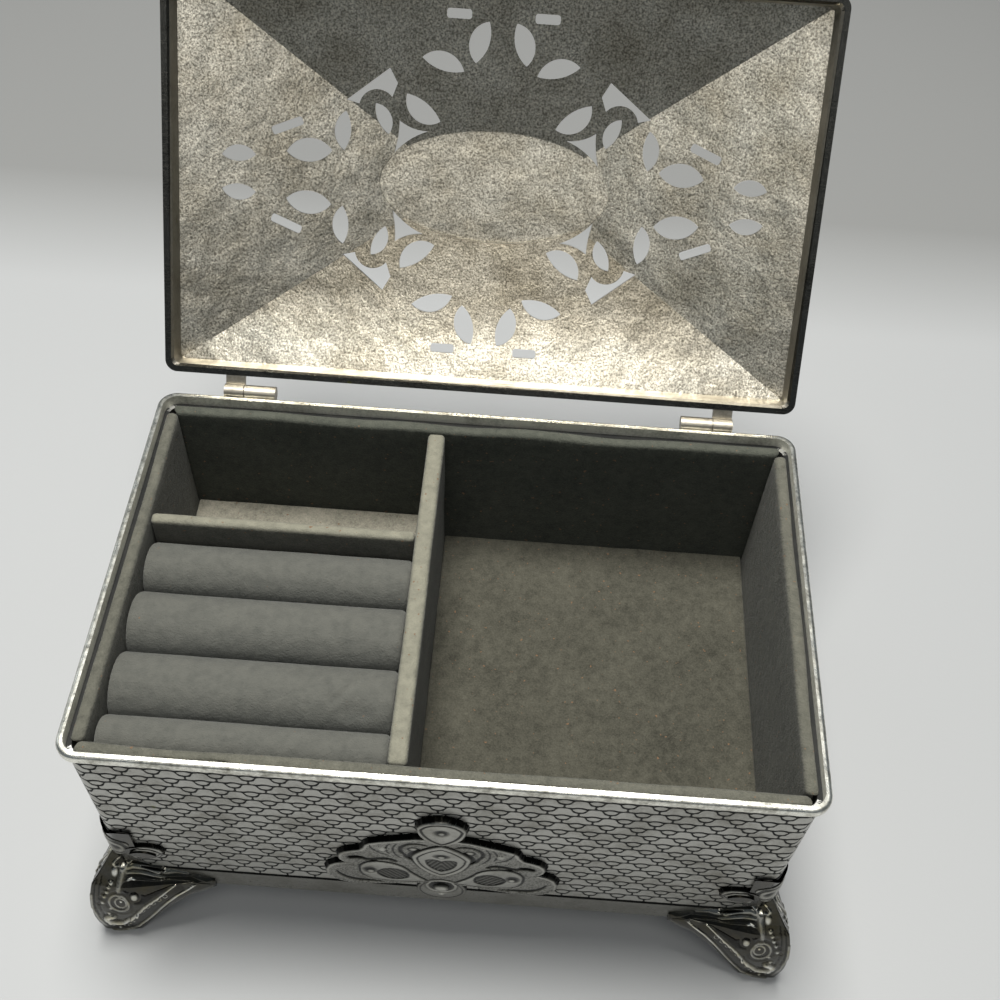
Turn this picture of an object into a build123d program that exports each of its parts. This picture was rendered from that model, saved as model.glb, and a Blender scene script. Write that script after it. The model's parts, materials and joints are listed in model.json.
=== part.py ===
from build123d import *
import os
from math import atan2, cos, degrees, hypot, pi, radians, sin

# Musical jewellery box, cast metal, standing on four splayed corner feet.
# Frame: millimetres, origin on the floor under the middle of the case,
# +X to the right seen from the front, +Y to the back, +Z up. The lid is
# drawn closed and then turned back to the angle at which it stands open.

# Case casting
CASE_LENGTH = 162.6
CASE_DEPTH = 101.6
CASE_WALL = 1.2
CASE_CORNER = 3.6
CASE_BOTTOM = 20.3
BAND_HEIGHT = 8.0
FIELD_RECESS = 0.4
RIM_TOP = 91.0
RIM_HEIGHT = 3.0
RIM_OVERHANG = 1.1
RIM_STEP = 1.2
RIM_ROUND = 0.9
GUSSET_LEG = 10.0
GUSSET_THICK = 4.0

# Bottom plate and its screws
PLATE_RECESS = 1.0
PLATE_THICK = 2.4
PLATE_GAP = 0.2
SCREW_RADIUS = 1.2
SCREW_CLEARANCE = 0.2
SCREW_HEAD_RADIUS = 2.4
SCREW_HEAD_HEIGHT = 0.9
SCREW_DEPTH_IN_METAL = 2.0
SCREW_INSET = 4.2
SCREW_SLOT_WIDTH = 0.6
SCREW_SLOT_DEPTH = 0.4

# Velvet covered card lining
BOARD_THICK = 2.4
BOARD_GAP = 0.2
BOARD_TOP_DROP = 2.0
BOARD_EDGE_ROUND = 1.0
RIGHT_FLOOR_DEPTH = 48.0
LEFT_FLOOR_DEPTH = 39.0
FLOOR_THICK = 2.0
FLOOR_SKIRT = 1.6
DIVIDER_THICK = 4.4
LEFT_WIDTH = 64.8
DIVIDER_DROP = 2.6
CROSS_THICK = 3.0
CROSS_Y = 14.0
CROSS_DROP = 3.2

# Ring rolls on their card bed
ROLL_CREST_DROP = 6.0
ROLL_BED_DROP = 21.0
ROLL_PITCH = 16.8
ROLL_START_Y = 14.4
ROLL_COUNT = 4
ROLL_GAP = 0.3
ROLL_DRAW_IN = 0.9
ROLL_CROWN_RISE = 5.8
ROLL_END_SCALES = (0.93, 0.985)
ROLL_END_RUNS = (0.9, 2.6)

# Lid
LID_INSET_X = 0.4
LID_INSET_Y = 1.15
LID_SETBACK = 0.9
LID_SEAT_GAP = 0.3
LID_WALL = 2.1
LID_CORNER = 3.0
LID_FRAME_HEIGHT = 7.5
LID_BEAD = 0.8
LID_RISE = 13.0
LID_RIDGE_HALF = 9.9
LID_BULGE = 0.9
PANEL_THICK = 1.5
PANEL_LEDGE = 0.4
LID_OPEN_ANGLE = 124.8
BOSS_HALF_LENGTH = 30.0
BOSS_HALF_DEPTH = 14.2
BOSS_CROWN = 20.2
BOSS_EDGE = 18.6
BOSS_WALL = 1.4

# Cut-outs of the lid, one quarter of the pattern, measured from its middle on
# a lid of the pattern's own size. A leaf is its tip, one side, its head and
# its other side.
PATTERN_LENGTH = 164.0
PATTERN_DEPTH = 101.5
LEAF_UPPER = ((6.4, 30.4), (8.2, 35.6), (3.4, 40.2), (3.1, 35.4))
LEAF_SHOULDER = ((9.2, 28.2), (13.8, 32.6), (19.9, 31.0), (14.8, 28.2))
LEAF_INNER = ((14.8, 15.7), (19.0, 20.4), (23.6, 22.1), (22.6, 17.0))
LEAF_SMALL = ((28.1, 11.7), (27.5, 16.4), (31.6, 19.2), (30.8, 14.6))
LEAF_CORNER = ((39.3, 7.0), (41.7, 13.2), (39.0, 16.9), (37.6, 12.4))
LEAF_SIDE = ((42.2, 6.8), (48.0, 9.6), (53.7, 5.9), (48.2, 3.6))
LEAF_END = ((61.2, 4.6), (65.6, 6.9), (69.6, 4.2), (65.8, 2.8))
HORN_CORNERS = ((27.9, 28.0), (25.9, 24.4), (27.3, 20.9), (35.7, 18.8), (39.0, 19.6))
HORN_ARCH = (32.0, 22.5)
TREFOIL_CORNERS = ((25.4, 15.4), (17.9, 13.1), (26.7, 7.0))
TREFOIL_HOLLOWS = ((21.8, 13.6), (23.2, 10.3), (25.7, 11.3))
BAR_MIDDLES = ((10.9, 41.6), (53.5, 12.3))
BAR_SIZES = ((6.2, 2.3), (8.2, 2.2))
BAR_TURNS = (0.0, -22.8)
BAR_ROUND = 0.7

# Hinges
HINGE_AXIS_BACK = 2.0
HINGE_AXIS_DROP = 0.6
KNUCKLE_RADIUS = 1.9
HINGE_END_INSET = 15.2
HINGE_CASE_SPAN = 8.2
HINGE_LID_SPAN = 5.1
HINGE_PIN_PROUD = 0.3
HINGE_SIDE_GAP = 0.2
HINGE_PIN_RADIUS = 0.8
HINGE_RUNNING_GAP = 0.06
CASE_LUG_DROP = 5.0
LID_ARM_THICK = 1.1

# Corner feet. Shares of a foot's section run from its sole to its top edge.
FOOT_RIDGE_REACH = 10.3
FOOT_REACH = 7.6
FOOT_TIP_REACH = 0.8
FOOT_TOP = 36.6
FOOT_TIP_TOP = 24.0
FOOT_TOP_BEND = 1.6
FOOT_WING = 24.0
FOOT_SOLE_END = 0.09
FOOT_SOLE_SINK = 0.5
FOOT_STATIONS = (0.0, 0.1, 0.2, 0.34, 0.52, 0.74, 1.0)
FOOT_TOE_SHARE = 0.9
FOOT_SHOULDER_SHARE = 0.76
FOOT_NECK_SHARE = 0.88
FOOT_KNEE_SHARE = 0.355
FOOT_SHOULDER_REACH = 0.7
FOOT_NECK_REACH = 0.3
FOOT_HEEL = 7.0
FOOT_TIP_HEEL = 0.9
FOOT_SEAT = 0.6
CHANNEL_RADIUS = 1.9
CHANNEL_START = 4.5
CHANNEL_END = 15.5
CHANNEL_OUT = 6.9
CHANNEL_HEIGHT = 23.6
CHANNEL_END_OUT = 4.4
PETAL_THICK = 1.2
PETAL_LEFT = 3.6
PETAL_LENGTH = 10.5
PETAL_HALF_HEIGHT = 3.0
PETAL_MIDDLE = 39.4
PETAL_EDGE = 2.0
PETAL_PROUD = 0.6
COLLAR_TOP = 50.0
COLLAR_WIDTH = 7.0
COLLAR_THICK = 1.0
COLLAR_OVERLAP = 3.0

# Scroll ornament on the front wall, right half outline from the top down
CARTOUCHE_THICK = 1.7
CREST_TOP = (0.0, 69.6)
CREST_ARCH = (4.4, 68.6)
CREST_SIDE = (5.8, 66.7)
CREST_UNDER = (4.2, 62.4)
CREST_TIP = (0.0, 57.5)
CREST_DIMPLE = 64.6
CREST_PROUD = 0.9
SHOULDER_START = (4.4, 59.9)
SHOULDER_MIDDLE = (11.0, 57.4)
SHOULDER_END = (17.5, 54.7)
NOTCH_TURN = (19.0, 53.6)
NOTCH = (18.8, 52.0)
LOBE_MIDDLE = (24.8, 46.5)
LOBE_END = (28.2, 38.5)
CURL_MIDDLE = (27.8, 33.3)
CURL_END = (25.2, 30.5)
BELLY_MIDDLE = (21.0, 29.3)
BELLY_END = (17.1, 29.9)
HEM_MIDDLE = (10.0, 31.4)
HEM_END = (2.8, 33.4)
PENDANT_RADIUS = 5.6
PENDANT_HEIGHT = 28.2
PENDANT_HOLE = 3.6
PENDANT_BALL = 2.4
SHIELD_HALF_WIDTH = 9.0
SHIELD_TOP = 57.4
SHIELD_BOTTOM = 36.6
SHIELD_SIDE_HEIGHT = 53.0
SHIELD_DIMPLE = 50.6
SHIELD_PROUD = 0.8
HEART_SHARE = 0.74
HEART_SINK = 0.5
EYE_INNER = (8.0, 36.6)
EYE_OUTER = (19.4, 39.4)
EYE_SWELL = 2.6
EYE_PROUD = 0.6
DIMPLE_RADIUS = 1.5
DIMPLE_DEPTH = 0.7
DIMPLE_LIFT = 0.4
SLOT_INNER = (11.4, 46.0)
SLOT_OUTER = (22.0, 45.6)
SLOT_SAG = 1.0
LOW_SLOT_INNER = (16.4, 31.8)
LOW_SLOT_OUTER = (25.6, 36.4)
STUD_PLACE = (14.2, 51.8)
STUD_RADIUS = 1.5

# Musical movement under the left side
MOVEMENT_Y = 0.0
BED_LENGTH = 55.0
BED_DEPTH = 46.0
BED_THICK = 2.2
BED_CORNER = 3.0
CYLINDER_Y = 4.0
CYLINDER_RADIUS = 6.3
CYLINDER_LENGTH = 19.6
CYLINDER_POST_GAP = 0.8
PIN_HEIGHT = 0.65
PIN_WIDTH = 0.35
PINS_PER_TRACK = 5
PIN_STEP_ANGLE = 137.5
ARBOR_RADIUS = 0.9
RUNNING_GAP = 0.06
BARREL_SIDE_GAP = 5.0
BARREL_RADIUS = 12.4
BARREL_HEIGHT = 7.6
BARREL_WALL = 0.9
BARREL_FLOOR_GAP = 2.0
CROWN_MODULE = 0.8
CROWN_TEETH = 28
CROWN_FACE = 2.4
PINION_TEETH = 10
PINION_WIDTH = 2.4
TOOTH_SHARE = 0.74
ADDENDUM = 0.9
DEDENDUM = 1.15
TRAIN_MODULE = 0.5
CYLINDER_WHEEL_TEETH = 30
CYLINDER_WHEEL_WIDTH = 1.4
TRAIN_PINION_TEETH = 10
TRAIN_PINION_WIDTH = 2.0
WORM_WHEEL_MODULE = 0.45
WORM_WHEEL_TEETH = 24
WORM_WHEEL_WIDTH = 1.0
WORM_CORE_RADIUS = 1.1
PIVOT_RADIUS = 0.55
PIVOT_DEPTH = 1.2
WHEEL_SPACE = 0.7
WORM_CLEARANCE = 0.1
POST_THICK = 1.3
POST_GAP = 0.3
MOVEMENT_FROM_BARREL = 14.3
POST_WIDTH = 6.0
POST_ABOVE_AXIS = 2.6
COMB_TEETH = 18
COMB_THICK = 1.0
COMB_PITCH = 1.08
COMB_SLOT = 0.28
COMB_REACH = 18.0
COMB_TIP_GAP = 0.12
COMB_BASS_SLOT = 11.5
COMB_TREBLE_SLOT = 7.0
COMB_WEIGHTS = 8
COMB_WEIGHT_LENGTH = 2.2
COMB_WEIGHT_DROP = 1.5
LEDGE_DEPTH = 7.0
COMB_SCREW_INSET = 3.4
COMB_SCREW_SPREAD = 12.0
COMB_SCREW_HOLE = 4.0
COMB_SCREW_GRIP = 3.6
SPRING_TURNS = 5
SPRING_THICK = 0.45
SPRING_PITCH = 1.5
SPRING_START_RADIUS = 2.7
SPRING_END_GAP = 0.4
KEY_ARBOR_RADIUS = 1.6
RATCHET_RADIUS = 5.0
RATCHET_TEETH = 24
RATCHET_TOOTH = 0.6
RATCHET_THICK = 1.1
RATCHET_LIFT = 0.4
CLICK_GAP = 0.15
CLICK_LENGTH = 6.0
CLICK_WIDTH = 1.8
KEY_HUB_RADIUS = 3.0
KEY_HUB_BOTTOM = 12.5
KEY_HUB_GAP = 0.5
KEY_WING_WIDTH = 21.0
KEY_WING_THICK = 2.2
KEY_WING_BOTTOM = 5.0
KEY_HOLE_RADIUS = 4.6
KEY_BORE_DEPTH = 4.0
FAN_RADIUS = 3.6
FAN_HEIGHT = 6.0
FAN_THICK = 0.35
FAN_LIFT = 1.6
BRAKE_HUB_RADIUS = 1.6
BRAKE_HUB_HEIGHT = 0.9
CHEEK_THICK = 1.0
CHEEK_FROM_FAN = 6.7
CHEEK_PIN_GAP = 0.65
CHEEK_BACK_GAP = 1.0
CHEEK_ABOVE_AXIS = 8.2
BRIDGE_THICK = 1.0

# Start and stop slider under the bottom plate
STOP_TRAVEL = 4.0
STOP_NECK = 3.0
STOP_SIDE_GAP = 0.08
STOP_PLATE = 6.4
STOP_PLATE_THICK = 1.0
STOP_PLATE_LIFT = 0.06
STOP_KNOB_LENGTH = 8.0
STOP_KNOB_WIDTH = 5.6
STOP_KNOB_HEIGHT = 2.6
STOP_KNOB_RIBS = 3
STOP_RIB_DEPTH = 0.5
STOP_ARM_WIDTH = 1.6
STOP_ARM_THICK = 0.8
STOP_TOUCH_GAP = 0.08
STOP_BEHIND_BED = 7.6

# Heights and faces worked out from the sizes above
BAND_TOP = CASE_BOTTOM + BAND_HEIGHT
RIM_BOTTOM = RIM_TOP - RIM_HEIGHT
FIELD_LENGTH = CASE_LENGTH - 2 * FIELD_RECESS
FIELD_DEPTH = CASE_DEPTH - 2 * FIELD_RECESS
INNER_LENGTH = FIELD_LENGTH - 2 * CASE_WALL
INNER_DEPTH = FIELD_DEPTH - 2 * CASE_WALL
INNER_CORNER = CASE_CORNER - CASE_WALL
RIM_LENGTH = CASE_LENGTH + 2 * RIM_OVERHANG
RIM_DEPTH = CASE_DEPTH + 2 * RIM_OVERHANG
PLATE_BOTTOM = CASE_BOTTOM + PLATE_RECESS
PLATE_TOP = PLATE_BOTTOM + PLATE_THICK
GUSSET_TOP = PLATE_TOP + GUSSET_THICK
BOARD_BOTTOM = GUSSET_TOP + BOARD_GAP
BOARD_TOP = RIM_TOP - BOARD_TOP_DROP
BOARD_OUT_X = INNER_LENGTH / 2 - BOARD_GAP
BOARD_OUT_Y = INNER_DEPTH / 2 - BOARD_GAP
LINING_X = BOARD_OUT_X - BOARD_THICK
LINING_Y = BOARD_OUT_Y - BOARD_THICK
FIT_Y = LINING_Y - BOARD_GAP / 2
RIGHT_FLOOR_TOP = RIM_TOP - RIGHT_FLOOR_DEPTH
LEFT_FLOOR_TOP = RIM_TOP - LEFT_FLOOR_DEPTH
DIVIDER_LEFT = LEFT_WIDTH - LINING_X
DIVIDER_RIGHT = DIVIDER_LEFT + DIVIDER_THICK
CROSS_FRONT = CROSS_Y - CROSS_THICK / 2
BED_CARD_TOP = RIM_TOP - ROLL_BED_DROP
ROLL_CREST = RIM_TOP - ROLL_CREST_DROP
LID_LENGTH = RIM_LENGTH - 2 * LID_INSET_X
LID_DEPTH = RIM_DEPTH - 2 * LID_INSET_Y
HINGE_OUTER_X = CASE_LENGTH / 2 - HINGE_END_INSET
HINGE_SPLIT_X = HINGE_OUTER_X - HINGE_LID_SPAN
HINGE_INNER_X = HINGE_SPLIT_X - HINGE_CASE_SPAN
HINGE_Y = RIM_DEPTH / 2 + HINGE_AXIS_BACK
HINGE_Z = RIM_TOP - HINGE_AXIS_DROP
LID_BASE = RIM_TOP + LID_SEAT_GAP
BED_BOTTOM = PLATE_TOP
BED_TOP = BED_BOTTOM + BED_THICK
BARREL_BOTTOM = BED_TOP + BARREL_FLOOR_GAP
BARREL_TOP = BARREL_BOTTOM + BARREL_HEIGHT
CROWN_RADIUS = CROWN_MODULE * CROWN_TEETH / 2
PINION_RADIUS = CROWN_MODULE * PINION_TEETH / 2
CYLINDER_Z = BARREL_TOP + CROWN_MODULE * DEDENDUM + PINION_RADIUS
BARREL_X = FLOOR_SKIRT + BOARD_GAP / 2 + BARREL_RADIUS + BARREL_SIDE_GAP - LINING_X
PINION_X = BARREL_X + CROWN_RADIUS
LEFT_POST_X = PINION_X + PINION_WIDTH / 2 + POST_GAP
CYLINDER_START_X = LEFT_POST_X + POST_THICK + CYLINDER_POST_GAP
MOVEMENT_X = BARREL_X + MOVEMENT_FROM_BARREL
PIN_CIRCLE = CYLINDER_RADIUS + PIN_HEIGHT
CYLINDER_END_X = CYLINDER_START_X + CYLINDER_LENGTH
CYLINDER_WHEEL_RADIUS = TRAIN_MODULE * CYLINDER_WHEEL_TEETH / 2
TRAIN_PINION_RADIUS = TRAIN_MODULE * TRAIN_PINION_TEETH / 2
WHEEL_X = CYLINDER_END_X + WHEEL_SPACE
TRAIN_Y = CYLINDER_Y + CYLINDER_WHEEL_RADIUS + TRAIN_PINION_RADIUS
WORM_WHEEL_TIP = WORM_WHEEL_MODULE * (WORM_WHEEL_TEETH / 2 + ADDENDUM)
WORM_Y = TRAIN_Y + WORM_WHEEL_TIP + WORM_CORE_RADIUS + WORM_CLEARANCE
FAN_X = WHEEL_X + CYLINDER_WHEEL_WIDTH + WHEEL_SPACE + WORM_WHEEL_WIDTH / 2
RIGHT_POST_X = FAN_X + WORM_WHEEL_WIDTH / 2 + WHEEL_SPACE
CHEEK_X = FAN_X - CHEEK_FROM_FAN
CHEEK_START_Y = CYLINDER_Y + PIN_CIRCLE + CHEEK_PIN_GAP
CHEEK_END_Y = WORM_Y + CHEEK_BACK_GAP
COMB_TIP_Y = CYLINDER_Y - PIN_CIRCLE - COMB_TIP_GAP
COMB_MIDDLE_X = CYLINDER_START_X + CYLINDER_LENGTH / 2
COMB_WIDTH = COMB_TEETH * COMB_PITCH
COMB_ROOT_Y = COMB_TIP_Y - COMB_REACH
COMB_BOTTOM = CYLINDER_Z - COMB_THICK / 2
FAN_BOTTOM = BED_TOP + FAN_LIFT
STOP_Y = MOVEMENT_Y + BED_DEPTH / 2 + STOP_BEHIND_BED

# Drawing planes: u to the right, v up, thickness outwards from the object
FRONT = Plane(origin=(0, 0, 0), x_dir=(1, 0, 0), z_dir=(0, -1, 0))
ALONG_X = Plane(origin=(0, 0, 0), x_dir=(0, 1, 0), z_dir=(1, 0, 0))


# Shared shapes

def rounded_prism(length, depth, radius, bottom, top):
    """Upright prism with rounded corners, standing between two heights."""
    face = RectangleRounded(length, depth, radius)
    return Pos(0, 0, bottom) * extrude(face, amount=top - bottom)


def block(x_low, x_high, y_low, y_high, z_low, z_high):
    """Box given by its two corners."""
    centre = Pos((x_low + x_high) / 2, (y_low + y_high) / 2, (z_low + z_high) / 2)
    return centre * Box(x_high - x_low, y_high - y_low, z_high - z_low)


def rod_x(x_low, x_high, y, z, radius):
    """Round bar along X."""
    bar = Cylinder(radius, x_high - x_low)
    return Pos((x_low + x_high) / 2, y, z) * Rot(0, 90, 0) * bar


def rod_z(x, y, z_low, z_high, radius):
    """Round upright bar."""
    return Pos(x, y, (z_low + z_high) / 2) * Cylinder(radius, z_high - z_low)


def slab(face, thickness, plane):
    """Face drawn flat, laid on a plane and thickened outwards from it."""
    return extrude(plane * face, amount=thickness, dir=plane.z_dir)


def closed(*curves):
    """Face inside a closed chain of lines and arcs."""
    return make_face(Curve() + list(curves))


def leaf(tip, side, head, other_side):
    """Leaf with a pointed tip and head, drawn with one arc on each side."""
    return closed(ThreePointArc(tip, side, head), ThreePointArc(head, other_side, tip))


def gear_face(teeth, module):
    """Spur gear outline with straight sided teeth, a tooth on the u axis."""
    pitch_radius = module * teeth / 2
    root = pitch_radius - module * DEDENDUM
    tip = pitch_radius + module * ADDENDUM
    half = pi / teeth * TOOTH_SHARE / 2
    outline = []
    for tooth in range(teeth):
        middle = 2 * pi * tooth / teeth
        for radius, share in ((root, -1.75), (pitch_radius, -1), (tip, -0.5),
                              (tip, 0.5), (pitch_radius, 1), (root, 1.75)):
            angle = middle + half * share
            outline.append((radius * cos(angle), radius * sin(angle)))
    return make_face(Polyline(*outline, close=True))


def gear_x(x_low, width, y, z, teeth, module, turn):
    """Spur gear on an axis along X, turned by an angle in degrees."""
    gear = extrude(gear_face(teeth, module), amount=width, dir=(0, 0, 1))
    return Pos(x_low, y, z) * ALONG_X.location * Rot(0, 0, turn) * gear


# Case

def case_body():
    """Open rectangular casting: plain band, recessed field and beaded rim."""
    band = rounded_prism(CASE_LENGTH, CASE_DEPTH, CASE_CORNER, CASE_BOTTOM, BAND_TOP)
    field = rounded_prism(FIELD_LENGTH, FIELD_DEPTH, CASE_CORNER, BAND_TOP, RIM_BOTTOM)
    rim = rounded_prism(RIM_LENGTH, RIM_DEPTH, CASE_CORNER + RIM_OVERHANG, RIM_BOTTOM, RIM_TOP)
    rim = fillet(rim.faces().sort_by(Axis.Z)[-1].outer_wire().edges(), RIM_ROUND)
    rim = fillet(rim.faces().sort_by(Axis.Z)[0].outer_wire().edges(), RIM_ROUND)
    hollow = rounded_prism(INNER_LENGTH, INNER_DEPTH, INNER_CORNER, CASE_BOTTOM, RIM_TOP)
    mouth = rounded_prism(INNER_LENGTH + 2 * RIM_STEP, INNER_DEPTH + 2 * RIM_STEP,
                          INNER_CORNER + RIM_STEP, RIM_BOTTOM, RIM_TOP)
    shell = band + field + rim - hollow - mouth
    for x_side in (-1, 1):
        for y_side in (-1, 1):
            shell += corner_gusset(x_side, y_side)
    return shell - base_screw_shanks(SCREW_RADIUS)


def corner_gusset(x_side, y_side):
    """Three cornered lug in a bottom corner, which a bottom screw bites into."""
    x_corner = x_side * (INNER_LENGTH + CASE_WALL) / 2
    y_corner = y_side * (INNER_DEPTH + CASE_WALL) / 2
    x_leg = x_corner - x_side * GUSSET_LEG
    y_leg = y_corner - y_side * GUSSET_LEG
    face = make_face(Polyline((x_corner, y_corner), (x_leg, y_corner),
                              (x_corner, y_leg), close=True))
    lug = Pos(0, 0, PLATE_TOP) * extrude(face, amount=GUSSET_THICK, dir=(0, 0, 1))
    envelope = rounded_prism(FIELD_LENGTH, FIELD_DEPTH, CASE_CORNER, PLATE_TOP, GUSSET_TOP)
    return lug & envelope


def base_screw_places():
    """Plan positions of the four bottom screws."""
    x = INNER_LENGTH / 2 - SCREW_INSET
    y = INNER_DEPTH / 2 - SCREW_INSET
    return [(x_side * x, y_side * y) for x_side in (-1, 1) for y_side in (-1, 1)]


def base_screw_shanks(radius):
    """The four bottom screw shanks, or their holes."""
    return [rod_z(x, y, PLATE_BOTTOM, PLATE_TOP + SCREW_DEPTH_IN_METAL, radius)
            for x, y in base_screw_places()]


def screw_from_below(x, y, top):
    """Cheese head screw whose head lies under the bottom plate."""
    head_bottom = PLATE_BOTTOM - SCREW_HEAD_HEIGHT
    screw = rod_z(x, y, PLATE_BOTTOM, top, SCREW_RADIUS)
    screw += rod_z(x, y, head_bottom, PLATE_BOTTOM, SCREW_HEAD_RADIUS)
    slot = block(x - SCREW_HEAD_RADIUS, x + SCREW_HEAD_RADIUS,
                 y - SCREW_SLOT_WIDTH / 2, y + SCREW_SLOT_WIDTH / 2,
                 head_bottom, head_bottom + SCREW_SLOT_DEPTH)
    return screw - slot


def base_screws():
    """Four screws that hold the bottom plate up against the corner lugs."""
    top = PLATE_TOP + SCREW_DEPTH_IN_METAL
    return [screw_from_below(x, y, top) for x, y in base_screw_places()]


def base_plate():
    """Bottom plate with the key hole, the slider slot and the screw holes."""
    plate = rounded_prism(INNER_LENGTH - 2 * PLATE_GAP, INNER_DEPTH - 2 * PLATE_GAP,
                          INNER_CORNER, PLATE_BOTTOM, PLATE_TOP)
    hole = SCREW_RADIUS + SCREW_CLEARANCE
    plate -= base_screw_shanks(hole)
    plate -= [rod_z(x, y, PLATE_BOTTOM, PLATE_TOP, hole) for x, y in movement_screw_places()]
    plate -= rod_z(BARREL_X, CYLINDER_Y, PLATE_BOTTOM, PLATE_TOP, KEY_HOLE_RADIUS)
    slot_half = STOP_NECK / 2 + STOP_SIDE_GAP
    plate -= block(FAN_X - slot_half, FAN_X + slot_half,
                   STOP_Y - slot_half - STOP_TRAVEL, STOP_Y + slot_half,
                   PLATE_BOTTOM, PLATE_TOP)
    return plate


# Front ornament

def half_cartouche():
    """Right half of the scroll outline, from the crest to the pendant."""
    middle_top = (0, SHOULDER_START[1])
    middle_bottom = (0, HEM_END[1])
    return closed(
        Line(middle_top, SHOULDER_START),
        ThreePointArc(SHOULDER_START, SHOULDER_MIDDLE, SHOULDER_END),
        ThreePointArc(SHOULDER_END, NOTCH_TURN, NOTCH),
        ThreePointArc(NOTCH, LOBE_MIDDLE, LOBE_END),
        ThreePointArc(LOBE_END, CURL_MIDDLE, CURL_END),
        ThreePointArc(CURL_END, BELLY_MIDDLE, BELLY_END),
        ThreePointArc(BELLY_END, HEM_MIDDLE, HEM_END),
        Line(HEM_END, middle_bottom),
        Line(middle_bottom, middle_top))


def both_halves(right):
    """Face joined with its mirror image."""
    return right + mirror(right, Plane.YZ)


def crest_face():
    """Eye shaped boss at the top, arched above and pointed below."""
    return both_halves(closed(ThreePointArc(CREST_TOP, CREST_ARCH, CREST_SIDE),
                              ThreePointArc(CREST_SIDE, CREST_UNDER, CREST_TIP),
                              Line(CREST_TIP, CREST_TOP)))


def shield_face(share):
    """Shield in the middle of the ornament, or a smaller one inside it."""
    middle = (SHIELD_TOP + SHIELD_BOTTOM) / 2
    top = (0, middle + (SHIELD_TOP - middle) * share)
    side = (SHIELD_HALF_WIDTH * share, middle + (SHIELD_SIDE_HEIGHT - middle) * share)
    bottom = (0, middle + (SHIELD_BOTTOM - middle) * share)
    over = (side[0] * 0.62, top[1] - 0.4 * share)
    under = (side[0] * 0.7, (side[1] + bottom[1]) / 2 - share)
    return both_halves(closed(ThreePointArc(top, over, side), ThreePointArc(side, under, bottom),
                              Line(bottom, top)))


def slim_leaf(inner, outer, swell, sag):
    """Leaf between two points, swelling by one amount above and another below."""
    middle_u = (inner[0] + outer[0]) / 2
    middle_v = (inner[1] + outer[1]) / 2
    return leaf(inner, (middle_u, middle_v + swell), outer, (middle_u, middle_v - sag))


def dimple(u, v, proud):
    """Ball that presses a round dimple into a raised boss."""
    wall = FIELD_DEPTH / 2
    out = wall + CARTOUCHE_THICK + proud + DIMPLE_RADIUS - DIMPLE_DEPTH
    return Pos(u, -out, v) * Sphere(DIMPLE_RADIUS)


def front_cartouche():
    """Raised scroll ornament soldered to the front wall and over its band."""
    wall = FRONT.offset(FIELD_DEPTH / 2)
    half = slab(half_cartouche(), CARTOUCHE_THICK, wall)
    half += slab(slim_leaf(EYE_INNER, EYE_OUTER, EYE_SWELL, EYE_SWELL), CARTOUCHE_THICK + EYE_PROUD, wall)
    half += slab(Pos(*STUD_PLACE) * Circle(STUD_RADIUS), CARTOUCHE_THICK + EYE_PROUD, wall)
    sunk = wall.offset(CARTOUCHE_THICK / 2)
    for inner, outer in ((SLOT_INNER, SLOT_OUTER), (LOW_SLOT_INNER, LOW_SLOT_OUTER)):
        half -= slab(slim_leaf(inner, outer, SLOT_SAG, SLOT_SAG / 2), CARTOUCHE_THICK, sunk)
    half -= dimple(EYE_OUTER[0] - EYE_SWELL, EYE_OUTER[1] - DIMPLE_LIFT, EYE_PROUD)
    plate = half + mirror(half, Plane.YZ)
    pendant = Pos(0, PENDANT_HEIGHT) * Circle(PENDANT_RADIUS)
    plate += slab(pendant, CARTOUCHE_THICK, wall)
    plate -= slab(Pos(0, PENDANT_HEIGHT) * Circle(PENDANT_HOLE), CARTOUCHE_THICK, sunk)
    plate += slab(crest_face(), CARTOUCHE_THICK + CREST_PROUD, wall)
    plate += slab(shield_face(1.0), CARTOUCHE_THICK + SHIELD_PROUD, wall)
    plate -= slab(shield_face(HEART_SHARE), CARTOUCHE_THICK,
                  wall.offset(CARTOUCHE_THICK + SHIELD_PROUD - HEART_SINK))
    plate += Pos(0, -FIELD_DEPTH / 2 - CARTOUCHE_THICK, PENDANT_HEIGHT) * Sphere(PENDANT_BALL)
    plate -= dimple(0, CREST_DIMPLE, CREST_PROUD)
    plate -= dimple(0, SHIELD_DIMPLE, SHIELD_PROUD - HEART_SINK)
    envelope = rounded_prism(CASE_LENGTH, CASE_DEPTH, CASE_CORNER, CASE_BOTTOM, BAND_TOP)
    envelope += rounded_prism(FIELD_LENGTH, FIELD_DEPTH, CASE_CORNER, BAND_TOP, RIM_BOTTOM)
    return plate - envelope


# Feet, drawn for the front left corner

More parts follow.
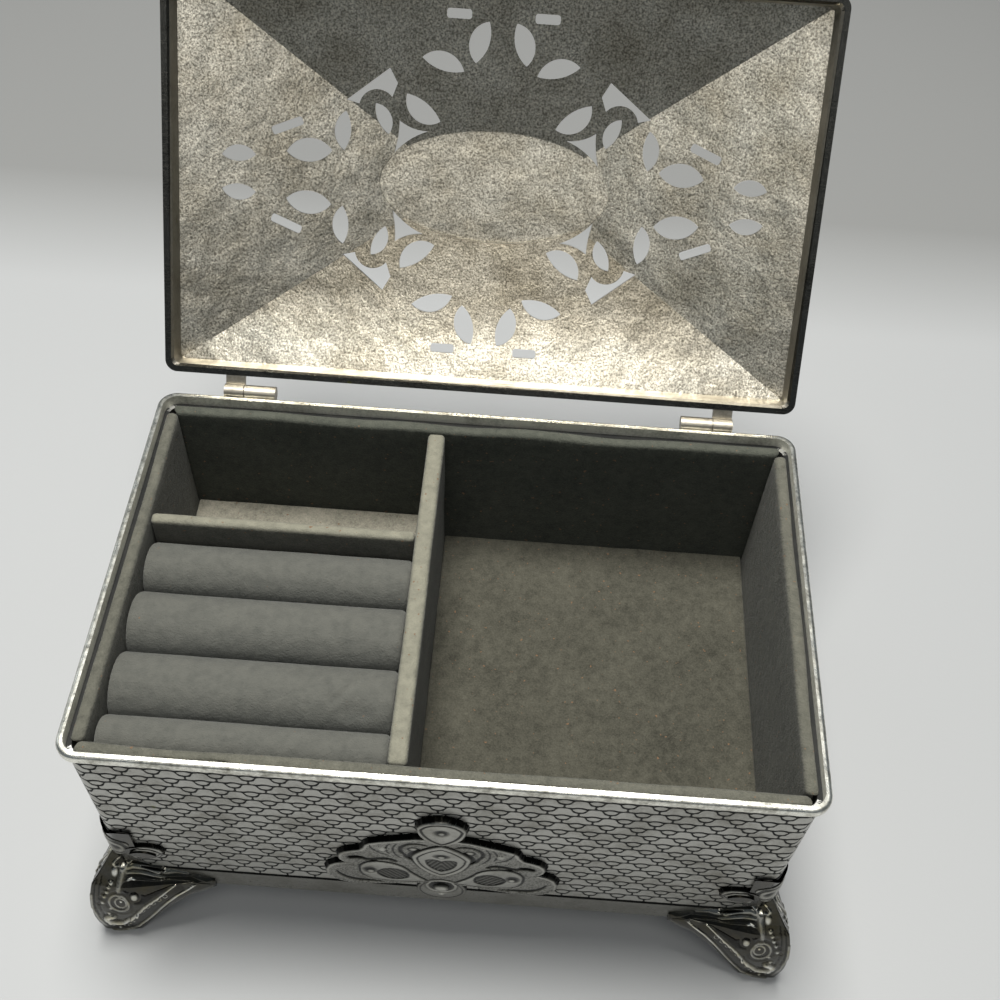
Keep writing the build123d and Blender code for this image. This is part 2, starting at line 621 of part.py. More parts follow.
def foot_section(share):
    """Upright section through a foot, at a share of the way out along its wing.

    The u axis points outwards from the face of the case, v is the height. The
    section hollows below its top edge, swells to the knee and draws in to the
    toe; its lower edge rises along the wing as a quarter wave.
    """
    rise = max(0.0, share - FOOT_SOLE_END) / (1 - FOOT_SOLE_END)
    low = CASE_BOTTOM * sin(rise * pi / 2) - FOOT_SOLE_SINK * (1 - rise)
    if share == 0:
        reach = FOOT_RIDGE_REACH
        heel = FOOT_HEEL * hypot(1, 1)
    else:
        reach = FOOT_REACH + (FOOT_TIP_REACH - FOOT_REACH) * share
        heel = FOOT_HEEL + (FOOT_TIP_HEEL - FOOT_HEEL) * share
    top_height = FOOT_TOP - (FOOT_TOP - FOOT_TIP_TOP) * share ** (1 / FOOT_TOP_BEND)
    height = top_height - low
    top = (-FOOT_SEAT, top_height)
    neck = (reach * FOOT_NECK_REACH, low + height * FOOT_NECK_SHARE)
    shoulder = (reach * FOOT_SHOULDER_REACH, low + height * FOOT_SHOULDER_SHARE)
    knee = (reach, low + height * FOOT_KNEE_SHARE)
    toe = (reach * FOOT_TOE_SHARE, low)
    heel_low = (-heel, low)
    heel_high = (-heel, CASE_BOTTOM + FOOT_SEAT)
    return closed(ThreePointArc(top, neck, shoulder), ThreePointArc(shoulder, knee, toe),
                  Line(toe, heel_low), Line(heel_low, heel_high), Line(heel_high, top))


def foot_wing():
    """Front wing of a foot, from the corner ridge to its tip on the band."""
    x_face = -CASE_LENGTH / 2
    y_face = -CASE_DEPTH / 2
    sections = []
    for share in FOOT_STATIONS:
        if share == 0:
            plane = Plane(origin=(x_face, y_face, 0), x_dir=(-1, -1, 0), z_dir=(-1, 1, 0))
        else:
            plane = Plane(origin=(x_face + FOOT_WING * share, y_face, 0), x_dir=(0, -1, 0),
                          z_dir=(-1, 0, 0))
        sections.append(plane * foot_section(share))
    return loft(sections, ruled=True)


def wing_channel():
    """Long hollow pressed into the front wing, narrowing towards its tip."""
    x_face = -CASE_LENGTH / 2
    y_face = -CASE_DEPTH / 2
    start = Plane(origin=(x_face + CHANNEL_START, y_face - CHANNEL_OUT, CHANNEL_HEIGHT),
                  x_dir=(0, 1, 0), z_dir=(1, 0, 0))
    end = Plane(origin=(x_face + CHANNEL_END, y_face - CHANNEL_END_OUT, CHANNEL_HEIGHT),
                x_dir=(0, 1, 0), z_dir=(1, 0, 0))
    return loft([start * Circle(CHANNEL_RADIUS), end * Circle(CHANNEL_RADIUS / 2)], ruled=True)


def foot_petal():
    """Leaf of the foot that lies along the front wall above the band."""
    start = -CASE_LENGTH / 2 + PETAL_LEFT
    end = start + PETAL_LENGTH
    middle = (start + end) / 2
    face = leaf((start, PETAL_MIDDLE), (middle, PETAL_MIDDLE + PETAL_HALF_HEIGHT),
                (end, PETAL_MIDDLE), (middle, PETAL_MIDDLE - PETAL_HALF_HEIGHT))
    wall = FRONT.offset(FIELD_DEPTH / 2)
    inner_half = (PETAL_HALF_HEIGHT - PETAL_EDGE) * 1.4
    eye = leaf((start + PETAL_EDGE, PETAL_MIDDLE), (middle, PETAL_MIDDLE + inner_half),
               (end - PETAL_EDGE, PETAL_MIDDLE), (middle, PETAL_MIDDLE - inner_half))
    return slab(face, PETAL_THICK, wall) + slab(eye, PETAL_THICK + PETAL_PROUD, wall)


def foot_collar():
    """Pointed collar that rises round the corner of the case."""
    x_face = -FIELD_LENGTH / 2
    top = (x_face - COLLAR_THICK, COLLAR_TOP)
    shoulder = (x_face + COLLAR_WIDTH, PETAL_MIDDLE + PETAL_HALF_HEIGHT)
    low = (x_face + COLLAR_WIDTH, FOOT_TOP - COLLAR_OVERLAP)
    outer_low = (x_face - COLLAR_THICK, FOOT_TOP - COLLAR_OVERLAP)
    hollow = (x_face + COLLAR_WIDTH * 0.35, PETAL_MIDDLE + PETAL_HALF_HEIGHT * 1.7)
    face = closed(ThreePointArc(top, hollow, shoulder), Line(shoulder, low),
                  Line(low, outer_low), Line(outer_low, top))
    wide = slab(face, COLLAR_WIDTH + COLLAR_THICK, FRONT.offset(FIELD_DEPTH / 2 - COLLAR_WIDTH))
    wrap = rounded_prism(FIELD_LENGTH + 2 * COLLAR_THICK, FIELD_DEPTH + 2 * COLLAR_THICK,
                         CASE_CORNER + COLLAR_THICK, 0, RIM_TOP)
    return wide & wrap


def corner_foot():
    """Foot of the front left corner: two mirrored wings, petals and collar."""
    x_face = -CASE_LENGTH / 2
    y_face = -CASE_DEPTH / 2
    half = foot_wing() - wing_channel() + foot_petal() + foot_collar()
    diagonal = Plane(origin=(x_face, y_face, 0), x_dir=(-1, -1, 0), z_dir=(1, -1, 0))
    foot = half + mirror(half, diagonal)
    reach = FOOT_WING + FOOT_RIDGE_REACH
    foot -= block(x_face - reach, x_face + reach, y_face - reach, y_face + reach, -FOOT_TOP, 0)
    envelope = rounded_prism(CASE_LENGTH, CASE_DEPTH, CASE_CORNER, CASE_BOTTOM, BAND_TOP)
    envelope += rounded_prism(FIELD_LENGTH, FIELD_DEPTH, CASE_CORNER, BAND_TOP, RIM_BOTTOM)
    return foot - envelope


# Lining

def board_with_round_top(x_low, x_high, y_low, y_high, z_low, z_high, radius):
    """Upright board whose top edges are rounded where the cloth folds over."""
    board = block(x_low, x_high, y_low, y_high, z_low, z_high)
    longest = Axis.X if x_high - x_low > y_high - y_low else Axis.Y
    top = board.faces().sort_by(Axis.Z)[-1].edges().filter_by(longest)
    return fillet(top, radius)


def lining_boards():
    """Front, back, left and right card boards, keyed by their side."""
    long_half = BOARD_OUT_X - BOARD_THICK / 2
    boards = {}
    for name, side in (("front", -1), ("back", 1)):
        low, high = sorted((side * BOARD_OUT_Y, side * LINING_Y))
        boards[name] = board_with_round_top(-long_half, long_half, low, high,
                                            BOARD_BOTTOM, BOARD_TOP, BOARD_EDGE_ROUND)
    for name, side in (("left", -1), ("right", 1)):
        low, high = sorted((side * BOARD_OUT_X, side * LINING_X))
        boards[name] = board_with_round_top(low, high, -FIT_Y, FIT_Y,
                                            BOARD_BOTTOM, BOARD_TOP, BOARD_EDGE_ROUND)
    return boards


def card_tray(x_low, x_high, y_low, y_high, z_low, z_high):
    """Card floor with turned down sides, open underneath."""
    outside = block(x_low, x_high, y_low, y_high, z_low, z_high)
    inside = block(x_low + FLOOR_SKIRT, x_high - FLOOR_SKIRT, y_low + FLOOR_SKIRT,
                   y_high - FLOOR_SKIRT, z_low, z_high - FLOOR_THICK)
    return outside - inside


def right_floor():
    """Floor of the large right compartment."""
    return card_tray(DIVIDER_RIGHT + BOARD_GAP / 2, LINING_X - BOARD_GAP / 2, -FIT_Y, FIT_Y,
                     BOARD_BOTTOM, RIGHT_FLOOR_TOP)


def left_floor():
    """Raised floor of the left side, over the movement."""
    return card_tray(-LINING_X + BOARD_GAP / 2, DIVIDER_LEFT - BOARD_GAP / 2, -FIT_Y, FIT_Y,
                     BOARD_BOTTOM, LEFT_FLOOR_TOP)


def ring_bed():
    """Card bed that carries the ring rolls."""
    return card_tray(-LINING_X + BOARD_GAP / 2, DIVIDER_LEFT - BOARD_GAP / 2,
                     -FIT_Y, CROSS_FRONT - BOARD_GAP / 2, LEFT_FLOOR_TOP, BED_CARD_TOP)


def centre_divider():
    """Tall divider between the left side and the right compartment."""
    return board_with_round_top(DIVIDER_LEFT, DIVIDER_RIGHT, -FIT_Y, FIT_Y,
                                PLATE_TOP, RIM_TOP - DIVIDER_DROP, DIVIDER_THICK * 0.35)


def cross_divider():
    """Low divider between the ring rolls and the small back compartment."""
    return board_with_round_top(-LINING_X + BOARD_GAP / 2, DIVIDER_LEFT - BOARD_GAP / 2,
                                CROSS_FRONT, CROSS_FRONT + CROSS_THICK,
                                LEFT_FLOOR_TOP, RIM_TOP - CROSS_DROP, CROSS_THICK * 0.35)


def roll_section(half_width, height):
    """Section of a ring roll: flat base, drawn in sides, round crown."""
    foot_half = half_width - ROLL_DRAW_IN
    shoulder = height - ROLL_CROWN_RISE
    radius = (half_width ** 2 + ROLL_CROWN_RISE ** 2) / (2 * ROLL_CROWN_RISE)
    turn = atan2(half_width, radius - ROLL_CROWN_RISE) / 2
    mid = (radius * sin(turn), height - radius * (1 - cos(turn)))
    right_foot = (foot_half, 0)
    right_shoulder = (half_width, shoulder)
    top = (0, height)
    left_shoulder = (-half_width, shoulder)
    left_foot = (-foot_half, 0)
    return closed(Line(left_foot, right_foot), Line(right_foot, right_shoulder),
                  ThreePointArc(right_shoulder, mid, top),
                  ThreePointArc(top, (-mid[0], mid[1]), left_shoulder),
                  Line(left_shoulder, left_foot))


def ring_roll(index):
    """One velvet covered foam roll, its ends drawn in; index counts from the back.

    The rolls lie at an even pitch; the first is squeezed by the cross divider
    and the last by the front board.
    """
    start = ROLL_START_Y - index * ROLL_PITCH
    back = min(start, CROSS_FRONT - BOARD_GAP / 2)
    front = max(start - ROLL_PITCH, -FIT_Y)
    half_width = (back - front - ROLL_GAP) / 2
    height = ROLL_CREST - BED_CARD_TOP
    x_left = ROLL_GAP - LINING_X
    x_right = DIVIDER_LEFT - ROLL_GAP
    stations = [(0, ROLL_END_SCALES[0]), (ROLL_END_RUNS[0], ROLL_END_SCALES[1]), (ROLL_END_RUNS[1], 1)]
    places = [(x_left + run, scale) for run, scale in stations]
    places += [(x_right - run, scale) for run, scale in reversed(stations)]
    sections = []
    for x, scale in places:
        plane = Plane(origin=(x, (back + front) / 2, BED_CARD_TOP), x_dir=(0, 1, 0), z_dir=(1, 0, 0))
        sections.append(plane * roll_section(half_width * scale, height * scale))
    return loft(sections, ruled=True)


# Lid, drawn closed with its rim plane at LID_BASE and turned open afterwards

def place_lid(shape):
    """Set a lid piece on the case and turn it back about the hinge axis."""
    closed_place = Pos(0, -LID_SETBACK, LID_BASE)
    turn = Pos(0, HINGE_Y, HINGE_Z) * Rot(-LID_OPEN_ANGLE, 0, 0) * Pos(0, -HINGE_Y, -HINGE_Z)
    return turn * closed_place * shape


def turn_with_lid(shape):
    """Turn a piece that is drawn at the closed lid back about the hinge axis."""
    turn = Pos(0, HINGE_Y, HINGE_Z) * Rot(-LID_OPEN_ANGLE, 0, 0) * Pos(0, -HINGE_Y, -HINGE_Z)
    return turn * shape


def lid_frame():
    """Upright frame of the lid, with a bead round its lower edge."""
    outside = rounded_prism(LID_LENGTH - 2 * LID_BEAD * 0.5, LID_DEPTH - 2 * LID_BEAD * 0.5,
                            LID_CORNER, 0, LID_FRAME_HEIGHT)
    bead = rounded_prism(LID_LENGTH, LID_DEPTH, LID_CORNER, 0, LID_BEAD * 2)
    bead = fillet(bead.faces().sort_by(Axis.Z)[-1].outer_wire().edges(), LID_BEAD * 0.45)
    inside = rounded_prism(LID_LENGTH - 2 * LID_WALL, LID_DEPTH - 2 * LID_WALL,
                           LID_CORNER * 0.5, 0, LID_FRAME_HEIGHT)
    lip = loft([RectangleRounded(LID_LENGTH - 2 * LID_WALL + 1.2, LID_DEPTH - 2 * LID_WALL + 1.2,
                                 LID_CORNER * 0.6),
                Pos(0, 0, 0.8) * RectangleRounded(LID_LENGTH - 2 * LID_WALL,
                                                  LID_DEPTH - 2 * LID_WALL, LID_CORNER * 0.5)])
    return outside + bead - inside - lip


def hip_block(half_length, half_depth, rise, base, ridge_half):
    """Hipped roof with four slightly bellied slopes over a rectangle."""
    end_mid = ((half_length + ridge_half) / 2, base + rise / 2 + LID_BULGE)
    left_mid = (-end_mid[0], end_mid[1])
    long_face = closed(
        Line((-half_length, base), (half_length, base)),
        ThreePointArc((half_length, base), end_mid, (ridge_half, base + rise)),
        Line((ridge_half, base + rise), (-ridge_half, base + rise)),
        ThreePointArc((-ridge_half, base + rise), left_mid, (-half_length, base)))
    side_mid = (half_depth / 2, base + rise / 2 + LID_BULGE)
    cross_face = closed(
        Line((-half_depth, base), (half_depth, base)),
        ThreePointArc((half_depth, base), side_mid, (0, base + rise)),
        ThreePointArc((0, base + rise), (-side_mid[0], side_mid[1]), (-half_depth, base)))
    along = slab(long_face, 2 * half_depth, FRONT.offset(-half_depth))
    across = slab(cross_face, 2 * half_length, ALONG_X.offset(-half_length))
    return along & across


def boss_block(grow, lift):
    """Oval block with a gently crowned top, inside or outside of the boss."""
    sag_radius_x = BOSS_HALF_LENGTH + grow
    face = Ellipse(sag_radius_x, BOSS_HALF_DEPTH + grow)
    column = extrude(face, amount=BOSS_CROWN + lift, dir=(0, 0, 1))
    crown_low = (sag_radius_x, BOSS_EDGE + lift)
    crown_high = (0, BOSS_CROWN + lift)
    cap_face = closed(Line((-sag_radius_x, 0), (sag_radius_x, 0)), Line((sag_radius_x, 0), crown_low),
                      ThreePointArc(crown_low, crown_high, (-crown_low[0], crown_low[1])),
                      Line((-crown_low[0], crown_low[1]), (-sag_radius_x, 0)))
    depth = BOSS_HALF_DEPTH + grow
    return column & slab(cap_face, 2 * depth, FRONT.offset(-depth))


def on_lid(points):
    """Points of the pattern, stretched to the size of the lid."""
    return [(u * LID_LENGTH / PATTERN_LENGTH, v * LID_DEPTH / PATTERN_DEPTH) for u, v in points]


def piercing_quarter():
    """Cut-outs of one quarter of the lid's pattern, drawn flat."""
    faces = [leaf(*on_lid(points)) for points in (LEAF_UPPER, LEAF_SHOULDER, LEAF_INNER, LEAF_SMALL,
                                                  LEAF_CORNER, LEAF_SIDE, LEAF_END)]
    top, notch, inner, outer, point, arch = on_lid(HORN_CORNERS + (HORN_ARCH,))
    faces.append(closed(Line(point, top), Line(top, notch), Line(notch, inner),
                        ThreePointArc(inner, arch, outer), Line(outer, point)))
    a, b, c, ab, bc, ca = on_lid(TREFOIL_CORNERS + TREFOIL_HOLLOWS)
    faces.append(closed(ThreePointArc(a, ab, b), ThreePointArc(b, bc, c), ThreePointArc(c, ca, a)))
    for middle, size, turn in zip(on_lid(BAR_MIDDLES), BAR_SIZES, BAR_TURNS):
        faces.append(Pos(*middle) * Rot(0, 0, turn) * RectangleRounded(*size, BAR_ROUND))
    return faces


def lid_panel():
    """Pierced hipped panel with the oval boss raised in its middle."""
    half_length = LID_LENGTH / 2 - LID_WALL
    half_depth = LID_DEPTH / 2 - LID_WALL
    ledge = LID_WALL - PANEL_LEDGE
    outer = hip_block(half_length + ledge, half_depth + ledge, LID_RISE + PANEL_THICK,
                      LID_FRAME_HEIGHT, LID_RIDGE_HALF)
    inner = hip_block(half_length, half_depth, LID_RISE, LID_FRAME_HEIGHT, LID_RIDGE_HALF)
    below = rounded_prism(LID_LENGTH, LID_DEPTH, LID_CORNER, 0, LID_FRAME_HEIGHT)
    below += inner & rounded_prism(LID_LENGTH, LID_DEPTH, LID_CORNER, 0, BOSS_EDGE)
    boss = boss_block(BOSS_WALL, PANEL_THICK) - boss_block(0, 0) - below
    oval = extrude(Ellipse(BOSS_HALF_LENGTH, BOSS_HALF_DEPTH), amount=2 * BOSS_CROWN, dir=(0, 0, 1))
    panel = outer - inner - oval + boss
    cutters = []
    for face in piercing_quarter():
        for turned in (face, mirror(face, Plane.YZ)):
            for flat in (turned, mirror(turned, Plane.XZ)):
                cutters.append(Pos(0, 0, LID_FRAME_HEIGHT) * extrude(flat, amount=2 * LID_RISE,
                                                                     dir=(0, 0, 1)))
    return panel - cutters


# Hinges

def hinge_span(side, near, far):
    """X range of a hinge piece on the left (-1) or right (1) side."""
    return sorted((side * near, side * far))


def case_hinge(side):
    """Lug cast on the back wall with the wide knuckle."""
    low, high = hinge_span(side, HINGE_INNER_X, HINGE_SPLIT_X - HINGE_SIDE_GAP / 2)
    knuckle = rod_x(low, high, HINGE_Y, HINGE_Z, KNUCKLE_RADIUS)
    wall = FIELD_DEPTH / 2
    bottom = HINGE_Z - CASE_LUG_DROP
    lug_face = make_face(Polyline((wall, bottom), (HINGE_Y + KNUCKLE_RADIUS, HINGE_Z - 0.4),
                                  (HINGE_Y, HINGE_Z), (wall, HINGE_Z), close=True))
    lug = slab(lug_face, high - low, ALONG_X.offset(low))
    envelope = rounded_prism(FIELD_LENGTH, FIELD_DEPTH, CASE_CORNER, 0, RIM_BOTTOM)
    envelope += rounded_prism(RIM_LENGTH, RIM_DEPTH, CASE_CORNER + RIM_OVERHANG, RIM_BOTTOM, RIM_TOP)
    solid = knuckle + (lug - envelope)
    return solid - rod_x(low, high, HINGE_Y, HINGE_Z, HINGE_PIN_RADIUS)


def lid_hinge(side):
    """Small outer knuckle and its arm, soldered to the back of the lid frame."""
    low, high = hinge_span(side, HINGE_SPLIT_X + HINGE_SIDE_GAP / 2, HINGE_OUTER_X)
    frame_back = LID_DEPTH / 2 - LID_SETBACK
    knuckle = rod_x(low, high, HINGE_Y, HINGE_Z, KNUCKLE_RADIUS)
    arm = block(low, high, frame_back, HINGE_Y, LID_BASE, LID_BASE + LID_ARM_THICK)
    solid = knuckle + arm
    bore = rod_x(low, high, HINGE_Y, HINGE_Z, HINGE_PIN_RADIUS + HINGE_RUNNING_GAP)
    return turn_with_lid(solid - bore)


def hinge_pin(side):
    """Pin through both knuckles of a hinge."""
    low, high = hinge_span(side, HINGE_INNER_X, HINGE_OUTER_X + HINGE_PIN_PROUD)
    return rod_x(low, high, HINGE_Y, HINGE_Z, HINGE_PIN_RADIUS)


# Musical movement

def movement_screw_places():
    """Plan positions of the three screws that hold the movement."""
    left = MOVEMENT_X - BED_LENGTH / 2 + SCREW_INSET
    right = MOVEMENT_X + BED_LENGTH / 2 - SCREW_INSET
    front = MOVEMENT_Y - BED_DEPTH / 2 + SCREW_INSET
    back = MOVEMENT_Y + BED_DEPTH / 2 - SCREW_INSET
    return [(left, front), (right, front), (MOVEMENT_X, back)]


def bearing_post(x_low, y_high):
    """Upright post of the bedplate that carries arbors along X."""
    top = CYLINDER_Z + POST_ABOVE_AXIS
    return block(x_low, x_low + POST_THICK, CYLINDER_Y - POST_WIDTH / 2, y_high, BED_TOP, top)


def movement_bedplate():
    """Cast bedplate with the comb ledge and two bearing posts."""
    face = Pos(MOVEMENT_X, MOVEMENT_Y) * RectangleRounded(BED_LENGTH, BED_DEPTH, BED_CORNER)
    plate = Pos(0, 0, BED_BOTTOM) * extrude(face, amount=BED_THICK)
    plate += block(COMB_MIDDLE_X - COMB_WIDTH / 2, COMB_MIDDLE_X + COMB_WIDTH / 2,
                   COMB_ROOT_Y, COMB_ROOT_Y + LEDGE_DEPTH, BED_TOP, COMB_BOTTOM)
    plate += bearing_post(LEFT_POST_X, CYLINDER_Y + POST_WIDTH / 2)
    plate += bearing_post(RIGHT_POST_X, TRAIN_Y + POST_WIDTH / 2)
    plate -= rod_x(LEFT_POST_X, LEFT_POST_X + POST_THICK, CYLINDER_Y, CYLINDER_Z,
                   ARBOR_RADIUS + RUNNING_GAP)
    for y in (CYLINDER_Y, TRAIN_Y):
        plate -= rod_x(RIGHT_POST_X, RIGHT_POST_X + POST_THICK, y, CYLINDER_Z,
                       ARBOR_RADIUS + RUNNING_GAP)
    plate -= rod_z(BARREL_X, CYLINDER_Y, BED_BOTTOM, BED_TOP, KEY_ARBOR_RADIUS + RUNNING_GAP)
    plate -= rod_z(FAN_X, WORM_Y, BED_TOP - PIVOT_DEPTH, BED_TOP, PIVOT_RADIUS + RUNNING_GAP)
    plate -= [rod_z(x, y, BED_BOTTOM, BED_TOP, SCREW_RADIUS) for x, y in movement_screw_places()]
    plate -= [rod_z(x, y, COMB_BOTTOM - COMB_SCREW_HOLE, COMB_BOTTOM, SCREW_RADIUS)
              for x, y in comb_screw_places()]
    return plate


def movement_screws():
    """Three screws through the bottom plate into the bedplate."""
    return [screw_from_below(x, y, BED_BOTTOM + SCREW_DEPTH_IN_METAL)
            for x, y in movement_screw_places()]


def comb_screw_places():
    """Plan positions of the two comb screws."""
    y = COMB_ROOT_Y + COMB_SCREW_INSET
    return [(COMB_MIDDLE_X + side * COMB_SCREW_SPREAD / 2, y) for side in (-1, 1)]


def comb():
    """Steel comb: eighteen teeth, long in the bass, with weights under the bass."""
    left = COMB_MIDDLE_X - COMB_WIDTH / 2
    plate = block(left, left + COMB_WIDTH, COMB_ROOT_Y, COMB_TIP_Y,
                  COMB_BOTTOM, COMB_BOTTOM + COMB_THICK)
    slots = []
    for index in range(1, COMB_TEETH):
        share = index / COMB_TEETH
        length = COMB_BASS_SLOT + (COMB_TREBLE_SLOT - COMB_BASS_SLOT) * share
        x = left + index * COMB_PITCH
        slots.append(block(x - COMB_SLOT / 2, x + COMB_SLOT / 2, COMB_TIP_Y - length, COMB_TIP_Y,
                           COMB_BOTTOM, COMB_BOTTOM + COMB_THICK))
    plate -= slots
    for index in range(COMB_WEIGHTS):
        x = left + index * COMB_PITCH + COMB_SLOT / 2
        length = COMB_WEIGHT_LENGTH * (1 - 0.5 * index / COMB_WEIGHTS)
        plate += block(x, x + COMB_PITCH - COMB_SLOT, COMB_TIP_Y - 0.5 - length, COMB_TIP_Y - 0.5,
                       COMB_BOTTOM - COMB_WEIGHT_DROP, COMB_BOTTOM)
    hole = SCREW_RADIUS + SCREW_CLEARANCE
    plate -= [rod_z(x, y, COMB_BOTTOM, COMB_BOTTOM + COMB_THICK, hole)
              for x, y in comb_screw_places()]
    return plate


def comb_screws():
    """Two screws that clamp the comb to its ledge."""
    top = COMB_BOTTOM + COMB_THICK
    screws = []
    for x, y in comb_screw_places():
        screw = rod_z(x, y, COMB_BOTTOM - COMB_SCREW_GRIP, top, SCREW_RADIUS)
        screw += rod_z(x, y, top, top + SCREW_HEAD_HEIGHT, SCREW_HEAD_RADIUS)
        slot = block(x - SCREW_HEAD_RADIUS, x + SCREW_HEAD_RADIUS, y - SCREW_SLOT_WIDTH / 2,
                     y + SCREW_SLOT_WIDTH / 2, top + SCREW_HEAD_HEIGHT - SCREW_SLOT_DEPTH,
                     top + SCREW_HEAD_HEIGHT)
        screws.append(screw - slot)
    return screws


def pinned_cylinder():
    """Cylinder with rows of pins, one row for each comb tooth."""
    tube = rod_x(CYLINDER_START_X, CYLINDER_END_X, CYLINDER_Y, CYLINDER_Z, CYLINDER_RADIUS)
    pins = []
    for track in range(COMB_TEETH):
        x = COMB_MIDDLE_X + (track - (COMB_TEETH - 1) / 2) * COMB_PITCH
        for count in range(PINS_PER_TRACK):
            angle = PIN_STEP_ANGLE * (track * PINS_PER_TRACK + count)
            pin = Pos(0, 0, CYLINDER_RADIUS) * Box(PIN_WIDTH, PIN_WIDTH, 2 * PIN_HEIGHT)
            pins.append(Pos(x, CYLINDER_Y, CYLINDER_Z) * Rot(angle, 0, 0) * pin)
    tube += pins
    return tube - rod_x(CYLINDER_START_X, CYLINDER_END_X, CYLINDER_Y, CYLINDER_Z, ARBOR_RADIUS)


def cylinder_arbor():
    """Arbor of the cylinder with the pinion that the crown teeth drive."""
    start = PINION_X - PINION_WIDTH / 2
    shaft = rod_x(start, RIGHT_POST_X + POST_THICK, CYLINDER_Y, CYLINDER_Z, ARBOR_RADIUS)
    down = -90 + 180 / PINION_TEETH
    return shaft + gear_x(start, PINION_WIDTH, CYLINDER_Y, CYLINDER_Z, PINION_TEETH, CROWN_MODULE, down)


def cylinder_wheel():
    """Toothed wheel on the cylinder's arbor that drives the governor."""
    wheel = gear_x(WHEEL_X, CYLINDER_WHEEL_WIDTH, CYLINDER_Y, CYLINDER_Z,
                   CYLINDER_WHEEL_TEETH, TRAIN_MODULE, 0)
    return wheel - rod_x(WHEEL_X, WHEEL_X + CYLINDER_WHEEL_WIDTH, CYLINDER_Y, CYLINDER_Z, ARBOR_RADIUS)


def spring_barrel():
    """Drum of the mainspring with crown teeth round its upper face."""
    drum = rod_z(BARREL_X, CYLINDER_Y, BARREL_BOTTOM, BARREL_TOP, BARREL_RADIUS)
    drum -= rod_z(BARREL_X, CYLINDER_Y, BARREL_BOTTOM + BARREL_WALL, BARREL_TOP - BARREL_WALL,
                  BARREL_RADIUS - BARREL_WALL)
    drum -= rod_z(BARREL_X, CYLINDER_Y, BARREL_BOTTOM, BARREL_TOP, KEY_ARBOR_RADIUS + RUNNING_GAP)
    pitch = pi * CROWN_MODULE
    height = CROWN_MODULE * (ADDENDUM + DEDENDUM)
    half_tip = pitch / 2 * TOOTH_SHARE / 2 - CROWN_MODULE * ADDENDUM * 0.42
    half_root = pitch / 2 * TOOTH_SHARE / 2 + CROWN_MODULE * DEDENDUM * 0.3
    tooth_face = make_face(Polyline((-half_root, -0.2), (half_root, -0.2), (half_root, 0),
                                    (half_tip, height), (-half_tip, height), (-half_root, 0),
                                    close=True))
    inner = CROWN_RADIUS - CROWN_FACE / 2
    tooth = slab(tooth_face, BARREL_RADIUS - inner, ALONG_X.offset(inner))
    teeth = [Pos(BARREL_X, CYLINDER_Y, BARREL_TOP) * Rot(0, 0, 360 * index / CROWN_TEETH) * tooth
             for index in range(CROWN_TEETH)]
    drum += teeth
    return drum & rod_z(BARREL_X, CYLINDER_Y, BARREL_BOTTOM, BARREL_TOP + height, BARREL_RADIUS)


def mainspring():
    """Flat spiral spring inside the barrel, drawn with half circles."""
    outer_edge = []
    inner_edge = []
    radius = SPRING_START_RADIUS
    centre = 0.0
    side = 1
    for _ in range(2 * SPRING_TURNS):
        for edge, offset in ((outer_edge, SPRING_THICK / 2), (inner_edge, -SPRING_THICK / 2)):
            r = radius + offset
            edge.append(ThreePointArc((centre + side * r, 0), (centre, side * r), (centre - side * r, 0)))
        centre += side * SPRING_PITCH / 2
        radius += SPRING_PITCH / 2
        side = -side
    start_cap = Line(inner_edge[0] @ 0, outer_edge[0] @ 0)
    end_cap = Line(inner_edge[-1] @ 1, outer_edge[-1] @ 1)
    strip = closed(*outer_edge, end_cap, *inner_edge, start_cap)
    height = BARREL_HEIGHT - 2 * BARREL_WALL - SPRING_END_GAP
    place = Pos(BARREL_X, CYLINDER_Y, BARREL_BOTTOM + BARREL_WALL)
    return place * extrude(strip, amount=height, dir=(0, 0, 1))


def barrel_arbor():
    """Upright arbor that the key turns, through the bedplate and the barrel."""
    return rod_z(BARREL_X, CYLINDER_Y, BED_BOTTOM - KEY_HUB_GAP - KEY_BORE_DEPTH,
                 BARREL_TOP, KEY_ARBOR_RADIUS)


def ratchet_wheel():
    """Ratchet wheel on the key's arbor, between the bedplate and the barrel."""
    outline = []
    for tooth in range(RATCHET_TEETH):
        start = 2 * pi * tooth / RATCHET_TEETH
        end = 2 * pi * (tooth + 1) / RATCHET_TEETH
        root = RATCHET_RADIUS - RATCHET_TOOTH
        outline.append((root * cos(start), root * sin(start)))
        outline.append((RATCHET_RADIUS * cos(end), RATCHET_RADIUS * sin(end)))
    bottom = BED_TOP + RATCHET_LIFT
    face = make_face(Polyline(*outline, close=True))
    wheel = Pos(BARREL_X, CYLINDER_Y, bottom) * extrude(face, amount=RATCHET_THICK, dir=(0, 0, 1))
    return wheel - rod_z(BARREL_X, CYLINDER_Y, bottom, bottom + RATCHET_THICK, KEY_ARBOR_RADIUS)


def click():
    """Pawl of the ratchet on its stud, drawn lifted just clear of the teeth."""
    bottom = BED_TOP + RATCHET_LIFT
    tip = (0, -(RATCHET_RADIUS + CLICK_GAP))
    heel = (-CLICK_LENGTH, tip[1] - CLICK_WIDTH)
    face = make_face(Polyline(tip, (-0.7, tip[1] - CLICK_WIDTH), heel, (-CLICK_LENGTH, tip[1]),
                              (-CLICK_LENGTH * 0.5, tip[1]), close=True))
    arm = Pos(BARREL_X, CYLINDER_Y, bottom) * extrude(face, amount=RATCHET_THICK, dir=(0, 0, 1))
    stud_x = BARREL_X - CLICK_LENGTH * 0.75
    stud_y = CYLINDER_Y + tip[1] - CLICK_WIDTH / 2
    return arm + rod_z(stud_x, stud_y, BED_TOP, bottom + RATCHET_THICK, CLICK_WIDTH * 0.4)


